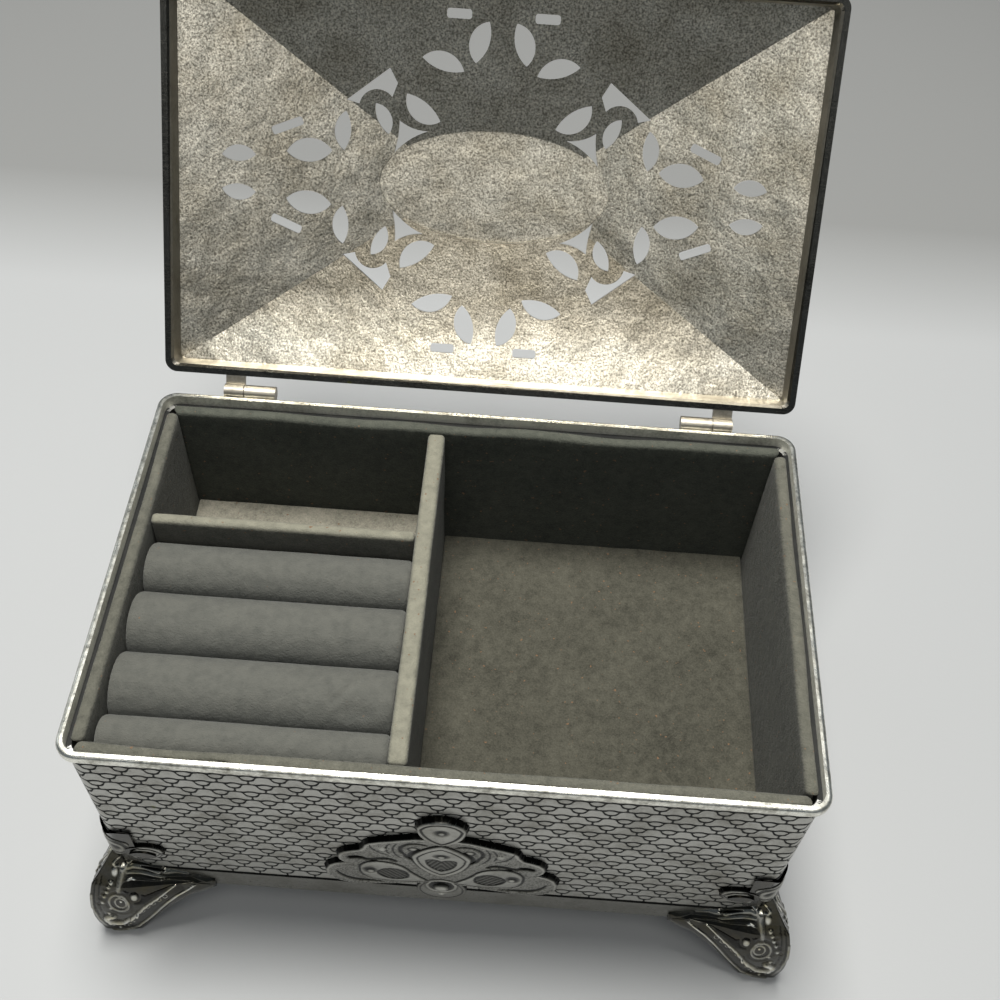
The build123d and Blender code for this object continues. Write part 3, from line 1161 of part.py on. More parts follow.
def winding_key():
    """Winding key under the bottom: hub with two rounded wings."""
    hub_top = BED_BOTTOM - KEY_HUB_GAP
    hub = rod_z(BARREL_X, CYLINDER_Y, KEY_HUB_BOTTOM, hub_top, KEY_HUB_RADIUS)
    half = KEY_WING_WIDTH / 2
    middle = (KEY_WING_BOTTOM + KEY_HUB_BOTTOM) / 2
    lobe = (KEY_HUB_BOTTOM - KEY_WING_BOTTOM) / 2
    waist = lobe * 0.62
    wing = make_face(Curve() + [
        ThreePointArc((half - lobe, middle + lobe), (half, middle), (half - lobe, middle - lobe)),
        ThreePointArc((half - lobe, middle - lobe), (0, middle - waist), (lobe - half, middle - lobe)),
        ThreePointArc((lobe - half, middle - lobe), (-half, middle), (lobe - half, middle + lobe)),
        Line((lobe - half, middle + lobe), (half - lobe, middle + lobe))])
    plane = Plane(origin=(BARREL_X, CYLINDER_Y + KEY_WING_THICK / 2, 0), x_dir=(1, 0, 0),
                  z_dir=(0, -1, 0))
    eyes = [plane.offset(-1) * Pos(side * (half - lobe), middle) * Circle(lobe * 0.42) for side in (-1, 1)]
    key = hub + slab(wing, KEY_WING_THICK, plane)
    key -= [extrude(eye, amount=KEY_WING_THICK + 2, dir=plane.z_dir) for eye in eyes]
    return key - rod_z(BARREL_X, CYLINDER_Y, hub_top - KEY_BORE_DEPTH, hub_top, KEY_ARBOR_RADIUS)


def train_wheel():
    """Intermediate arbor with its pinion and the wheel that turns the worm."""
    start = CHEEK_X + CHEEK_THICK * 0.2
    shaft = rod_x(start, RIGHT_POST_X + POST_THICK, TRAIN_Y, CYLINDER_Z, ARBOR_RADIUS)
    pinion_start = WHEEL_X + (CYLINDER_WHEEL_WIDTH - TRAIN_PINION_WIDTH) / 2
    mesh_turn = 180 - 180 / TRAIN_PINION_TEETH
    shaft += gear_x(pinion_start, TRAIN_PINION_WIDTH, TRAIN_Y, CYLINDER_Z, TRAIN_PINION_TEETH,
                    TRAIN_MODULE, mesh_turn)
    return shaft + gear_x(FAN_X - WORM_WHEEL_WIDTH / 2, WORM_WHEEL_WIDTH, TRAIN_Y, CYLINDER_Z,
                          WORM_WHEEL_TEETH, WORM_WHEEL_MODULE, 0)


def governor_frame():
    """Cheek and bridge that carry the governor's pivots."""
    top = CYLINDER_Z + CHEEK_ABOVE_AXIS
    frame = block(CHEEK_X, CHEEK_X + CHEEK_THICK, CHEEK_START_Y, CHEEK_END_Y, BED_TOP, top)
    frame += block(CHEEK_X, FAN_X + BRAKE_HUB_RADIUS, WORM_Y - BRAKE_HUB_RADIUS,
                   WORM_Y + BRAKE_HUB_RADIUS, top - BRIDGE_THICK, top)
    frame -= rod_x(CHEEK_X, CHEEK_X + CHEEK_THICK, TRAIN_Y, CYLINDER_Z, ARBOR_RADIUS + RUNNING_GAP)
    return frame - rod_z(FAN_X, WORM_Y, top - BRIDGE_THICK, top, PIVOT_RADIUS + RUNNING_GAP)


def governor_worm():
    """Upright worm shaft with its pivots and the hub that the brake touches."""
    top = CYLINDER_Z + CHEEK_ABOVE_AXIS
    shaft = rod_z(FAN_X, WORM_Y, BED_TOP - PIVOT_DEPTH + RUNNING_GAP, top, PIVOT_RADIUS)
    shaft += rod_z(FAN_X, WORM_Y, FAN_BOTTOM, top - BRIDGE_THICK - 0.3, WORM_CORE_RADIUS)
    return shaft + rod_z(FAN_X, WORM_Y, BED_TOP + 0.4, BED_TOP + 0.4 + BRAKE_HUB_HEIGHT,
                         BRAKE_HUB_RADIUS)


def air_fan():
    """Two bladed paddle that slows the governor."""
    fan = block(FAN_X - FAN_RADIUS, FAN_X + FAN_RADIUS, WORM_Y - FAN_THICK / 2,
                WORM_Y + FAN_THICK / 2, FAN_BOTTOM, FAN_BOTTOM + FAN_HEIGHT)
    fan += rod_z(FAN_X, WORM_Y, FAN_BOTTOM + FAN_HEIGHT / 3, FAN_BOTTOM + FAN_HEIGHT * 2 / 3,
                 WORM_CORE_RADIUS + 0.5)
    return fan - rod_z(FAN_X, WORM_Y, FAN_BOTTOM, FAN_BOTTOM + FAN_HEIGHT, WORM_CORE_RADIUS)


def stop_slider():
    """Start and stop slider: ribbed knob below, neck, plate and brake arm above."""
    neck_half = STOP_NECK / 2
    plate_low = PLATE_TOP + STOP_PLATE_LIFT
    plate_high = plate_low + STOP_PLATE_THICK
    knob_high = PLATE_BOTTOM - STOP_PLATE_LIFT
    knob_low = knob_high - STOP_KNOB_HEIGHT
    slider = block(FAN_X - neck_half, FAN_X + neck_half, STOP_Y - neck_half, STOP_Y + neck_half,
                   knob_high, plate_low)
    slider += block(FAN_X - STOP_PLATE / 2, FAN_X + STOP_PLATE / 2, STOP_Y - STOP_PLATE / 2,
                    STOP_Y + STOP_PLATE / 2, plate_low, plate_high)
    slider += block(FAN_X - STOP_KNOB_LENGTH / 2, FAN_X + STOP_KNOB_LENGTH / 2,
                    STOP_Y - STOP_KNOB_WIDTH / 2, STOP_Y + STOP_KNOB_WIDTH / 2, knob_low, knob_high)
    rib_step = STOP_KNOB_WIDTH / (STOP_KNOB_RIBS + 1)
    for rib in range(STOP_KNOB_RIBS):
        y = STOP_Y - STOP_KNOB_WIDTH / 2 + rib_step * (rib + 1)
        slider -= block(FAN_X - STOP_KNOB_LENGTH / 2, FAN_X + STOP_KNOB_LENGTH / 2,
                        y - STOP_RIB_DEPTH / 2, y + STOP_RIB_DEPTH / 2,
                        knob_low, knob_low + STOP_RIB_DEPTH)
    arm_low = BED_TOP + 0.4
    arm_tip = WORM_Y + BRAKE_HUB_RADIUS + STOP_TOUCH_GAP + STOP_TRAVEL
    arm_back = STOP_Y + STOP_ARM_WIDTH / 2
    slider += block(FAN_X - STOP_ARM_WIDTH / 2, FAN_X + STOP_ARM_WIDTH / 2, arm_tip, arm_back,
                    arm_low, arm_low + STOP_ARM_THICK)
    return slider + block(FAN_X - STOP_ARM_WIDTH / 2, FAN_X + STOP_ARM_WIDTH / 2,
                          arm_back - STOP_ARM_WIDTH, arm_back, plate_high, arm_low)


# Every piece by its node name

def foot_places():
    """The four feet, mirrored from the front left one."""
    front_left = corner_foot()
    back_left = mirror(front_left, Plane.XZ)
    return {"foot_front_left": front_left, "foot_front_right": mirror(front_left, Plane.YZ),
            "foot_back_left": back_left, "foot_back_right": mirror(back_left, Plane.YZ)}


def build_nodes():
    """All pieces of the box, keyed by node name."""
    nodes = {"case_body": case_body(), "front_cartouche": front_cartouche(),
             "base_plate": base_plate(), "base_screws": base_screws()}
    nodes.update(foot_places())
    for side, board in lining_boards().items():
        nodes["lining_" + side] = board
    nodes.update({"right_floor": right_floor(), "left_floor": left_floor(),
                  "centre_divider": centre_divider(), "cross_divider": cross_divider(),
                  "ring_bed": ring_bed()})
    for index in range(ROLL_COUNT):
        nodes["ring_roll_" + str(index + 1)] = ring_roll(index)
    nodes["lid_frame"] = place_lid(lid_frame())
    nodes["lid_panel"] = place_lid(lid_panel())
    for word, side in (("left", -1), ("right", 1)):
        nodes["case_hinge_" + word] = case_hinge(side)
        nodes["lid_hinge_" + word] = lid_hinge(side)
        nodes["hinge_pin_" + word] = hinge_pin(side)
    nodes.update({"movement_bedplate": movement_bedplate(), "movement_screws": movement_screws(),
                  "comb": comb(), "comb_screws": comb_screws(), "cylinder": pinned_cylinder(),
                  "cylinder_arbor": cylinder_arbor(), "cylinder_wheel": cylinder_wheel(),
                  "spring_barrel": spring_barrel(), "mainspring": mainspring(),
                  "barrel_arbor": barrel_arbor(), "ratchet_wheel": ratchet_wheel(),
                  "click": click(), "winding_key": winding_key(), "train_wheel": train_wheel(),
                  "governor_frame": governor_frame(), "governor_worm": governor_worm(),
                  "air_fan": air_fan(), "stop_slider": stop_slider()})
    return nodes


def export_nodes():
    """Write each piece to its own STEP file."""
    os.makedirs("parts", exist_ok=True)
    for name, shape in build_nodes().items():
        if isinstance(shape, list):
            shape = Compound(children=shape)
        export_step(shape, "parts/" + name + ".step")


export_nodes()
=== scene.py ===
import cmath
import json
import logging
import math
from dataclasses import dataclass
from enum import Enum
from typing import Callable

import bmesh
import bpy
import numpy as np
from mathutils import Matrix, Vector, noise


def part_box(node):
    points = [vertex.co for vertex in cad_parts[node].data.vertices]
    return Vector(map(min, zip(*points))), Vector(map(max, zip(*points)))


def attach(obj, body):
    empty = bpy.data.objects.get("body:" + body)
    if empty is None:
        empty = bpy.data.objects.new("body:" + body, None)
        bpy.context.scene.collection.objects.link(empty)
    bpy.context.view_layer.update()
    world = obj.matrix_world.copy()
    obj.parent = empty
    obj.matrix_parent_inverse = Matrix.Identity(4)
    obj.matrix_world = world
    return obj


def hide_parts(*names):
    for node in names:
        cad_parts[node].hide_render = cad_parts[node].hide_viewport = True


# Looks of a musical jewellery box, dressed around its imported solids.
# Lengths are metres in the frame of the solids: X to the right, Y to the
# back, Z up from the floor. MM turns a size read in millimetres into metres.
# The drawings of the carved pieces are in millimetres, and their marks too.

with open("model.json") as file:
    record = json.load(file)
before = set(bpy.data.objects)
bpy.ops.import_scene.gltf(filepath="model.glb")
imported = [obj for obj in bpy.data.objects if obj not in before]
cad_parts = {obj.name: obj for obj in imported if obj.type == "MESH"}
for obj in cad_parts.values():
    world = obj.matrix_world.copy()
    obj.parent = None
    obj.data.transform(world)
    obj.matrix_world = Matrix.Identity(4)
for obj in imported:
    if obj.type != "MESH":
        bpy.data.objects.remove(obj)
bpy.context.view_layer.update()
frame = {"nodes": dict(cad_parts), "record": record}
NODES = frame["nodes"]

MM = 0.001
BLACK = (0.0, 0.0, 0.0)
WHITE = (1.0, 1.0, 1.0)
Colour = tuple[float, float, float]
Place = tuple[float, float, float]
Spot = tuple[float, float]
Chain = list[Spot]
Points = list[Place]
Faces = list[tuple[int, ...]]
Field = np.ndarray
Socket = bpy.types.NodeSocket
Value = Socket | float | Colour
Material = bpy.types.Material
Piece = bpy.types.Object
log = logging.getLogger("jewellery_box")


class Slot(Enum):
    """Material slots of the record."""

    SILVER_CASE = "silver_case"
    SILVER_CAST = "silver_cast"
    DARK_FOOT = "dark_foot"
    BOTTOM_PAINT = "bottom_paint"
    STEEL = "steel"
    BRASS = "brass"
    FAN_PLASTIC = "fan_plastic"
    VELVET_BOARD = "velvet_board"
    VELVET_ROLL = "velvet_roll"


class Way(Enum):
    """Ways in which a node joins two values."""

    ADD = "ADD"
    MULTIPLY = "MULTIPLY"
    MIX = "MIX"


# Finishes


class NodeSheet:
    """A material's node tree, with short calls for the nodes it uses."""

    def __init__(self, name: str) -> None:
        """Start a material with a Principled shader.

        Args:
            name: Name of the material.
        """
        self.material = bpy.data.materials.new(name)
        self.material.use_nodes = True
        self.tree = self.material.node_tree
        self.shader = self.tree.nodes["Principled BSDF"]
        self.place = self.node("TexCoord").outputs["Object"]

    def feed(self, socket: Socket, value: Value) -> None:
        """Join a value to an input, or write it there if it is constant.

        Args:
            socket: Input that takes the value.
            value: Output of a node, number or colour.
        """
        if isinstance(value, bpy.types.NodeSocket):
            self.tree.links.new(value, socket)
        else:
            socket.default_value = (*value, 1.0) if socket.type == "RGBA" else value

    def node(self, kind: str, inputs: dict[int | str, Value] | None = None) -> bpy.types.Node:
        """Add a node.

        Args:
            kind: Kind of node, without the words that every kind starts with.
            inputs: Values of its inputs, by number or name.

        Returns:
            The node.
        """
        node = self.tree.nodes.new("ShaderNode" + kind)
        for key, value in (inputs or {}).items():
            self.feed(node.inputs[key], value)
        return node

    def set(self, **values: Value) -> None:
        """Feed the shader's inputs, named in snake case."""
        for key, value in values.items():
            self.feed(self.shader.inputs[key.replace("_", " ").title().replace("Ior", "IOR")], value)

    def noise(self, size: float, detail: float = 2.0, rough: float = 0.5,
              stretch: Colour = WHITE, seed: float = 0.0) -> Socket:
        """Cloudy value between 0 and 1.

        Args:
            size: Width of one blotch in metres.
            detail: Number of finer octaves.
            rough: Share of the finer octaves.
            stretch: Factor on the size along each axis.
            seed: Offset that picks another pattern.

        Returns:
            The noise texture's value.
        """
        scale = tuple(1.0 / (size * s) for s in stretch)
        shift = (seed, seed * 0.7, seed * 1.3)
        mapping = self.node("Mapping", {"Vector": self.place, "Location": shift, "Scale": scale})
        texture = {"Vector": mapping.outputs["Vector"], "Scale": 1.0, "Detail": detail, "Roughness": rough}
        return self.node("TexNoise", texture).outputs["Fac"]

    def along(self, axis: str) -> Socket:
        """Place along one axis in metres."""
        return self.node("SeparateXYZ", {0: self.place}).outputs[axis]

    def tone_and_painted_light(self) -> Socket:
        """Brightness stored on the mesh's points: the black of carved hollows, and painted light and shade.

        Returns:
            The stored value.
        """
        node = self.node("Attribute")
        node.attribute_name = "tone_and_painted_light"
        return node.outputs["Fac"]

    def reckon(self, way: Way, first: Value, second: Value) -> Socket:
        """One arithmetic step on two numbers.

        Args:
            way: Whether they are added or multiplied.
            first: First number.
            second: Second number.

        Returns:
            The result.
        """
        node = self.node("Math", {0: first, 1: second})
        node.operation = way.value
        return node.outputs["Value"]

    def plus(self, first: Value, second: Value) -> Socket:
        """Sum of two numbers."""
        return self.reckon(Way.ADD, first, second)

    def times(self, first: Value, second: Value) -> Socket:
        """Product of two numbers."""
        return self.reckon(Way.MULTIPLY, first, second)

    def ramp(self, value: Socket, stops: list[tuple[float, Colour]]) -> Socket:
        """Colour looked up along a ramp.

        Args:
            value: Place along the ramp.
            stops: Positions and their colours.

        Returns:
            The colour.
        """
        node = self.node("ValToRGB", {"Fac": value})
        ramp = node.color_ramp
        while len(ramp.elements) < len(stops):
            ramp.elements.new(0.5)
        for element, (position, colour) in zip(ramp.elements, stops):
            element.position = position
            element.color = (*colour, 1.0)
        return node.outputs["Color"]

    def mix(self, share: Value, first: Value, second: Value, way: Way = Way.MIX) -> Socket:
        """Blend of two colours.

        Args:
            share: Share of the second colour.
            first: First colour.
            second: Second colour.
            way: Way in which they are joined.

        Returns:
            The blended colour.
        """
        node = self.node("Mix")
        node.data_type = "RGBA"
        node.blend_type = way.value
        for number, value in ((0, share), (6, first), (7, second)):
            self.feed(node.inputs[number], value)
        return node.outputs[2]

    def multiply(self, first: Value, second: Value) -> Socket:
        """Product of two colours."""
        return self.mix(1.0, first, second, Way.MULTIPLY)

    def spread(self, value: Socket, low: float, high: float) -> Socket:
        """Value between 0 and 1, stretched to run from low to high."""
        return self.node("MapRange", {"Value": value, "To Min": low, "To Max": high}).outputs["Result"]

    def bump(self, *layers: tuple[Socket, float]) -> None:
        """Raise the surface by one or more layers of detail.

        Args:
            *layers: Height value and depth in metres of each layer.
        """
        normal = None
        for value, depth in layers:
            node = self.node("Bump", {"Distance": depth, "Height": value})
            if normal is not None:
                self.feed(node.inputs["Normal"], normal)
            normal = node.outputs["Normal"]
        self.set(normal=normal)


@dataclass(frozen=True)
class SilverFinish:
    """Worn silver plate, tarnished in patches; following a carving, black in its hollows, with its painted
    highlights and painted shade.
    """

    name: str
    bright: Colour
    tarnish: Colour
    rough_low: float = 0.22
    rough_high: float = 0.48
    patch: float = 9 * MM
    patch_from: float = 0.45
    patch_to: float = 0.7
    fine: float = 0.8 * MM
    scratch: float = 0.25 * MM
    grain: float = 0.5 * MM
    grain_depth: float = 0.02 * MM
    hollows: bool = False
    crumb: float = 4.5 * MM
    dirt: Colour = (0.2, 0.2, 0.04)
    dirt_share: float = 0.76
    dirt_edge: float = 0.06

    def material(self) -> Material:
        """Build the material.

        Returns:
            Metal with tarnish, scratches and a fine grain.
        """
        sheet = NodeSheet(self.name)
        patches = sheet.noise(self.patch, 5.0, 0.62)
        fine = sheet.noise(self.fine, 3.0, 0.6, seed=3.1)
        mixed = sheet.plus(sheet.times(patches, 0.7), sheet.times(fine, 0.3))
        middle = tuple(0.5 * (a + b) for a, b in zip(self.bright, self.tarnish))
        colour = sheet.ramp(mixed, [(self.patch_from, self.bright),
                                    ((self.patch_from + self.patch_to) / 2, middle),
                                    (self.patch_to, self.tarnish)])
        crumbs = sheet.noise(self.crumb, 2.0, 0.5, seed=8.4)
        dirty = sheet.ramp(crumbs, [(self.dirt_share, BLACK), (self.dirt_share + self.dirt_edge, WHITE)])
        colour = sheet.mix(dirty, colour, self.dirt)
        # The carving's stored brightness: black in its hollows, and painted highlights and painted shade.
        if self.hollows:
            shade = sheet.ramp(sheet.plus(sheet.tone_and_painted_light(), sheet.times(fine, 0.1)),
                               [(0.1, (0.012, 0.012, 0.011)), (0.45, (0.34, 0.34, 0.33)),
                                (0.72, (0.8, 0.8, 0.8)), (1.0, WHITE)])
            colour = sheet.multiply(colour, shade)
        scratch = sheet.noise(self.scratch, 2.0, 0.5, stretch=(8.0, 8.0, 1.0), seed=1.7)
        rough = sheet.spread(sheet.times(patches, scratch), self.rough_low, self.rough_high * 2)
        sheet.set(metallic=1.0, base_color=colour, roughness=rough)
        grain = sheet.noise(self.grain, 3.0, 0.6, seed=5.3)
        sheet.bump((grain, self.grain_depth), (patches, self.grain_depth * 3))
        return sheet.material


@dataclass(frozen=True)
class AntiqueFinish:
    """Dark antiqued cast metal with black hollows; carved, its bright backs are the carving's painted
    highlights, and plain, it is rubbed lighter at random.
    """

    name: str
    hollow: Colour = (0.004, 0.004, 0.004)
    body: Colour = (0.075, 0.073, 0.064)
    rubbed: Colour = (0.4, 0.395, 0.36)
    polish_and_highlight: Colour = (0.85, 0.84, 0.8)
    olive: Colour = (0.82, 0.76, 0.56)
    rough_low: float = 0.1
    rough_high: float = 0.24
    wear: float = 3.5 * MM
    fine: float = 0.6 * MM
    carved: bool = True

    def material(self) -> Material:
        """Build the material.

        Returns:
            Metal whose darkness follows the carving's hollows, painted highlights and painted shade.
        """
        sheet = NodeSheet(self.name)
        wear = sheet.noise(self.wear, 4.0, 0.6, seed=6.1)
        fine = sheet.noise(self.fine, 3.0, 0.6, seed=2.2)
        # Carved, the brightness is the carving's: black hollows, painted highlights and painted shade. Plain,
        # it follows the wear.
        depth = sheet.tone_and_painted_light() if self.carved else sheet.spread(wear, 0.25, 0.85)
        value = sheet.plus(depth, sheet.times(sheet.plus(fine, -0.5), 0.22))
        colour = sheet.ramp(value, [(0.08, self.hollow), (0.42, self.body), (0.74, self.rubbed),
                                    (1.0, self.polish_and_highlight)])
        olive = sheet.ramp(wear, [(0.42, WHITE), (0.72, self.olive)])
        rough = sheet.spread(fine, self.rough_low, self.rough_high)
        sheet.set(metallic=1.0, base_color=sheet.multiply(colour, olive), roughness=rough)
        sheet.bump((fine, 0.015 * MM), (wear, 0.05 * MM))
        return sheet.material


@dataclass(frozen=True)
class CastFinish:
    """Coarse sand-cast plate inside the lid, with bright and dark grains."""

    name: str
    bright: Colour = (0.84, 0.79, 0.67)
    shade: Colour = (0.2, 0.185, 0.15)
    worn: Colour = (0.72, 0.7, 0.66)
    grain: float = 0.5 * MM
    depth: float = 0.07 * MM
    blotch: float = 14 * MM
    swell: float = 9 * MM
    swell_depth: float = 0.45 * MM
    fade: Spot | None = None

    def material(self) -> Material:
        """Build the material.

        Returns:
            Metal whose grains catch the light one by one, partly as painted sparkle, with painted shade that
            darkens it up through the fade.
        """
        sheet = NodeSheet(self.name)
        grain = sheet.noise(self.grain, 3.0, 0.7)
        blotch = sheet.noise(self.blotch, 4.0, 0.55, seed=2.3)
        # Bright and dark grains: the cast grain, and partly a painted sparkle.
        shade = sheet.ramp(grain, [(0.36, self.shade), (0.64, self.bright)])
        colour = sheet.multiply(shade, sheet.ramp(blotch, [(0.35, self.worn), (0.65, WHITE)]))
        # Painted shade: darker up through the fade, towards the boss.
        if self.fade is not None:
            low, high = self.fade
            rise = sheet.times(sheet.plus(sheet.along("Z"), -low), 1 / (high - low))
            painted_shade_ramp = sheet.ramp(rise, [(0.2, WHITE), (0.45, (0.7, 0.69, 0.67)), (0.8, (0.4, 0.39, 0.37))])
            colour = sheet.multiply(colour, painted_shade_ramp)
        sheet.set(metallic=1.0, base_color=colour, roughness=sheet.spread(blotch, 0.26, 0.34))
        sheet.bump((sheet.noise(self.swell, 3.0, 0.5, seed=7.7), self.swell_depth), (grain, self.depth))
        return sheet.material


@dataclass(frozen=True)
class VelvetFinish:
    """Short pile velvet, worn and dusty."""

    name: str
    pile: Colour
    rubbed: Colour
    sheen: float = 0.15
    sheen_tint: Colour = (0.75, 0.76, 0.72)
    speck: Colour = (0.16, 0.1, 0.06)
    speck_share: float = 0.73
    speck_edge: float = 0.03
    crest: Colour | None = None
    pile_size: float = 0.45 * MM
    clump_size: float = 2.4 * MM
    rubbed_size: float = 17 * MM
    speck_size: float = 1.1 * MM

    def material(self) -> Material:
        """Build the material.

        Returns:
            Cloth with a short pile, rubbed patches, crumbs of dust and, where crest is given, painted light
            on its tops.
        """
        sheet = NodeSheet(self.name)
        pile = sheet.noise(self.pile_size, 3.0, 0.7)
        clumps = sheet.noise(self.clump_size, 3.0, 0.6, seed=4.0)
        rubbed = sheet.noise(self.rubbed_size, 4.0, 0.6, seed=9.0)
        wear = sheet.plus(sheet.times(clumps, 0.3), sheet.times(rubbed, 0.25))
        tone = sheet.plus(sheet.times(pile, 0.45), wear)
        colour = sheet.ramp(tone, [(0.36, self.pile), (0.64, self.rubbed)])
        # Painted light: the crest colour is mixed in where the mesh stores a bright top.
        if self.crest is not None:
            worn = sheet.times(sheet.tone_and_painted_light(), sheet.spread(clumps, 0.45, 1.35))
            colour = sheet.mix(worn, colour, self.crest)
        specks = sheet.noise(self.speck_size, 1.0, 0.4, seed=12.0)
        spots = sheet.ramp(specks, [(self.speck_share, BLACK), (self.speck_share + self.speck_edge, WHITE)])
        sheet.set(base_color=sheet.mix(spots, colour, self.speck), roughness=0.95, specular_ior_level=0.12,
                  sheen_weight=self.sheen, sheen_roughness=0.45, sheen_tint=self.sheen_tint)
        sheet.bump((clumps, 0.35 * MM), (pile, 0.3 * MM))
        return sheet.material


@dataclass(frozen=True)
class PlainFinish:
    """Plain metal, paint or plastic with a fine grain and light wear."""

    name: str
    base: Colour
    worn: Colour
    metallic: float = 1.0
    rough: float = 0.35
    wear: float = 7 * MM
    grain: float = 0.6 * MM
    depth: float = 0.02 * MM

    def material(self) -> Material:
        """Build the material.

        Returns:
            The finish with grain and wear.
        """
        sheet = NodeSheet(self.name)
        wear = sheet.noise(self.wear, 5.0, 0.6)
        colour = sheet.ramp(wear, [(0.42, self.base), (0.68, self.worn)])
        rough = sheet.spread(wear, self.rough * 0.8, self.rough * 1.3)
        sheet.set(metallic=self.metallic, base_color=colour, roughness=rough)
        sheet.bump((sheet.noise(self.grain, 3.0, 0.6, seed=2.0), self.depth))
        return sheet.material


class Look(Enum):
    """Finishes of the box, named for what wears them."""

    PLATES = SilverFinish("worn_silver", (0.42, 0.415, 0.385), (0.2, 0.19, 0.16), 0.25, 0.42,
                          patch_from=0.46, patch_to=0.72)
    ORNAMENT = SilverFinish("carved_silver", (0.42, 0.415, 0.38), (0.2, 0.19, 0.16), 0.22, 0.38, hollows=True,
                            patch_from=0.46, patch_to=0.74)
    RIM = SilverFinish("rim_silver", (0.86, 0.85, 0.77), (0.2, 0.19, 0.15), 0.18, 0.34, patch=4 * MM,
                       patch_from=0.42, patch_to=0.68)
    MOUTH = SilverFinish("mouth_silver", (0.85, 0.84, 0.76), (0.4, 0.39, 0.33), 0.5, 0.65)
    # Darker copy of the case silver for the band, darkening its reflection: painted shade.
    BAND = SilverFinish("band_silver", (0.2, 0.197, 0.175), (0.12, 0.116, 0.098), 0.2, 0.34,
                        grain_depth=0.008 * MM)
    GROUND = PlainFinish("black_oxide", (0.008, 0.0085, 0.008), (0.02, 0.02, 0.018), 0.6, 0.6)
    FOOT = AntiqueFinish("dark_antique")
    PLAIN_FOOT = AntiqueFinish("plain_antique", carved=False)
    FOOT_SHADOW = AntiqueFinish("foot_shadow", carved=False, body=(0.025, 0.024, 0.021),
                                rubbed=(0.07, 0.067, 0.058), polish_and_highlight=(0.16, 0.155, 0.135))
    # Near black copy of the antique finish for the lid frame's outer faces, which lie in shade: painted
    # shade.
    LID_OUTSIDE_SHADED = AntiqueFinish("lid_outside", carved=False, body=(0.012, 0.012, 0.011),
                                rubbed=(0.035, 0.035, 0.03), polish_and_highlight=(0.1, 0.1, 0.09))
    # Dark copy of the silver for the lid's lower edge faces that look down: painted shade.
    LID_EDGE_SHADED = SilverFinish("lid_edge", (0.11, 0.107, 0.094), (0.035, 0.034, 0.029), 0.12, 0.3)
    LID_SKIRT = SilverFinish("lid_skirt", (0.4, 0.37, 0.31), (0.2, 0.185, 0.15), 0.25, 0.45)
    CAST = CastFinish("cast_grain")
    # Copy of the cast finish with painted shade, darker up towards the boss.
    CAST_LOW_SHADED = CastFinish("cast_grain_low_painted_shade", fade=(92.5 * MM, 107.5 * MM))
    # The crest colours are painted light on the tops of the boards and rolls.
    WALL_CLOTH = VelvetFinish("velvet_wall", (0.04, 0.041, 0.035), (0.105, 0.103, 0.086),
                              crest=(0.27, 0.26, 0.2))
    FLOOR_CLOTH = VelvetFinish("velvet_floor", (0.036, 0.035, 0.027), (0.1, 0.096, 0.074), 0.12)
    # Paler copy of the floor velvet for the deep back floor: painted light.
    LIT_BACK_FLOOR_CLOTH = VelvetFinish("velvet_back_floor_painted_light", (0.12, 0.115, 0.09), (0.32, 0.3, 0.24))
    # Darker copy of the wall velvet for the back board, which lies in shade: painted shade.
    SHADED_BACK_CLOTH = VelvetFinish("velvet_nap_down", (0.026, 0.03, 0.025), (0.07, 0.074, 0.06), 0.1,
                            crest=(0.2, 0.2, 0.16))
    ROLL_CLOTH = VelvetFinish("velvet_roll", (0.022, 0.025, 0.024), (0.055, 0.058, 0.054), 0.2,
                              speck_share=0.8, crest=(0.105, 0.105, 0.092))
    BRASS = PlainFinish("brass", (0.62, 0.45, 0.18), (0.42, 0.3, 0.13))
    STEEL = PlainFinish("steel", (0.52, 0.52, 0.5), (0.34, 0.33, 0.31))
    PAINT = PlainFinish("bottom_paint", (0.035, 0.035, 0.033), (0.08, 0.075, 0.068), 0.0, 0.5)
    PLASTIC = PlainFinish("fan_plastic", (0.7, 0.67, 0.58), (0.6, 0.57, 0.5), 0.0, 0.4)


SLOT_LOOKS = {Slot.SILVER_CASE: Look.PLATES, Slot.SILVER_CAST: Look.CAST, Slot.DARK_FOOT: Look.PLAIN_FOOT,
              Slot.BOTTOM_PAINT: Look.PAINT, Slot.STEEL: Look.STEEL, Slot.BRASS: Look.BRASS,
              Slot.FAN_PLASTIC: Look.PLASTIC, Slot.VELVET_BOARD: Look.WALL_CLOTH,
              Slot.VELVET_ROLL: Look.ROLL_CLOTH}


# Meshes


def shape_of(points: Points, faces: Faces) -> bmesh.types.BMesh:
    """Mesh with these points and faces.

    Args:
        points: Corner points in metres.
        faces: Corner numbers of each face.

    Returns:
        The mesh.
    """
    shape = bmesh.new()
    corners = [shape.verts.new(p) for p in points]
    for face in faces:
        shape.faces.new([corners[k] for k in face])
    return shape


def add_piece(name: str, shape: bmesh.types.BMesh, finish: Material, slot: Slot,
              light: list[float] | None = None, smooth: bool = True) -> Piece:
    """Make a piece from a mesh and let it ride on the case.

    Args:
        name: Name of the piece.
        shape: Mesh, which is freed.
        finish: Material of the piece.
        slot: Material slot of the record that it stands for; not used.
        light: Brightness of each point, if it has one: the black of carved hollows, and painted light and
            shade.
        smooth: Whether the faces are shaded smooth.

    Returns:
        The new object.
    """
    mesh = bpy.data.meshes.new(name)
    shape.to_mesh(mesh)
    shape.free()
    # Store the brightness: the black of hollows, and painted light and shade.
    if light is not None:
        mesh.attributes.new("tone_and_painted_light", "FLOAT", "POINT").data.foreach_set("value", light)
    if smooth:
        mesh.shade_smooth()
    mesh.materials.append(finish)
    piece = bpy.data.objects.new(name, mesh)
    bpy.context.scene.collection.objects.link(piece)
    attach(piece, "case")
    return piece


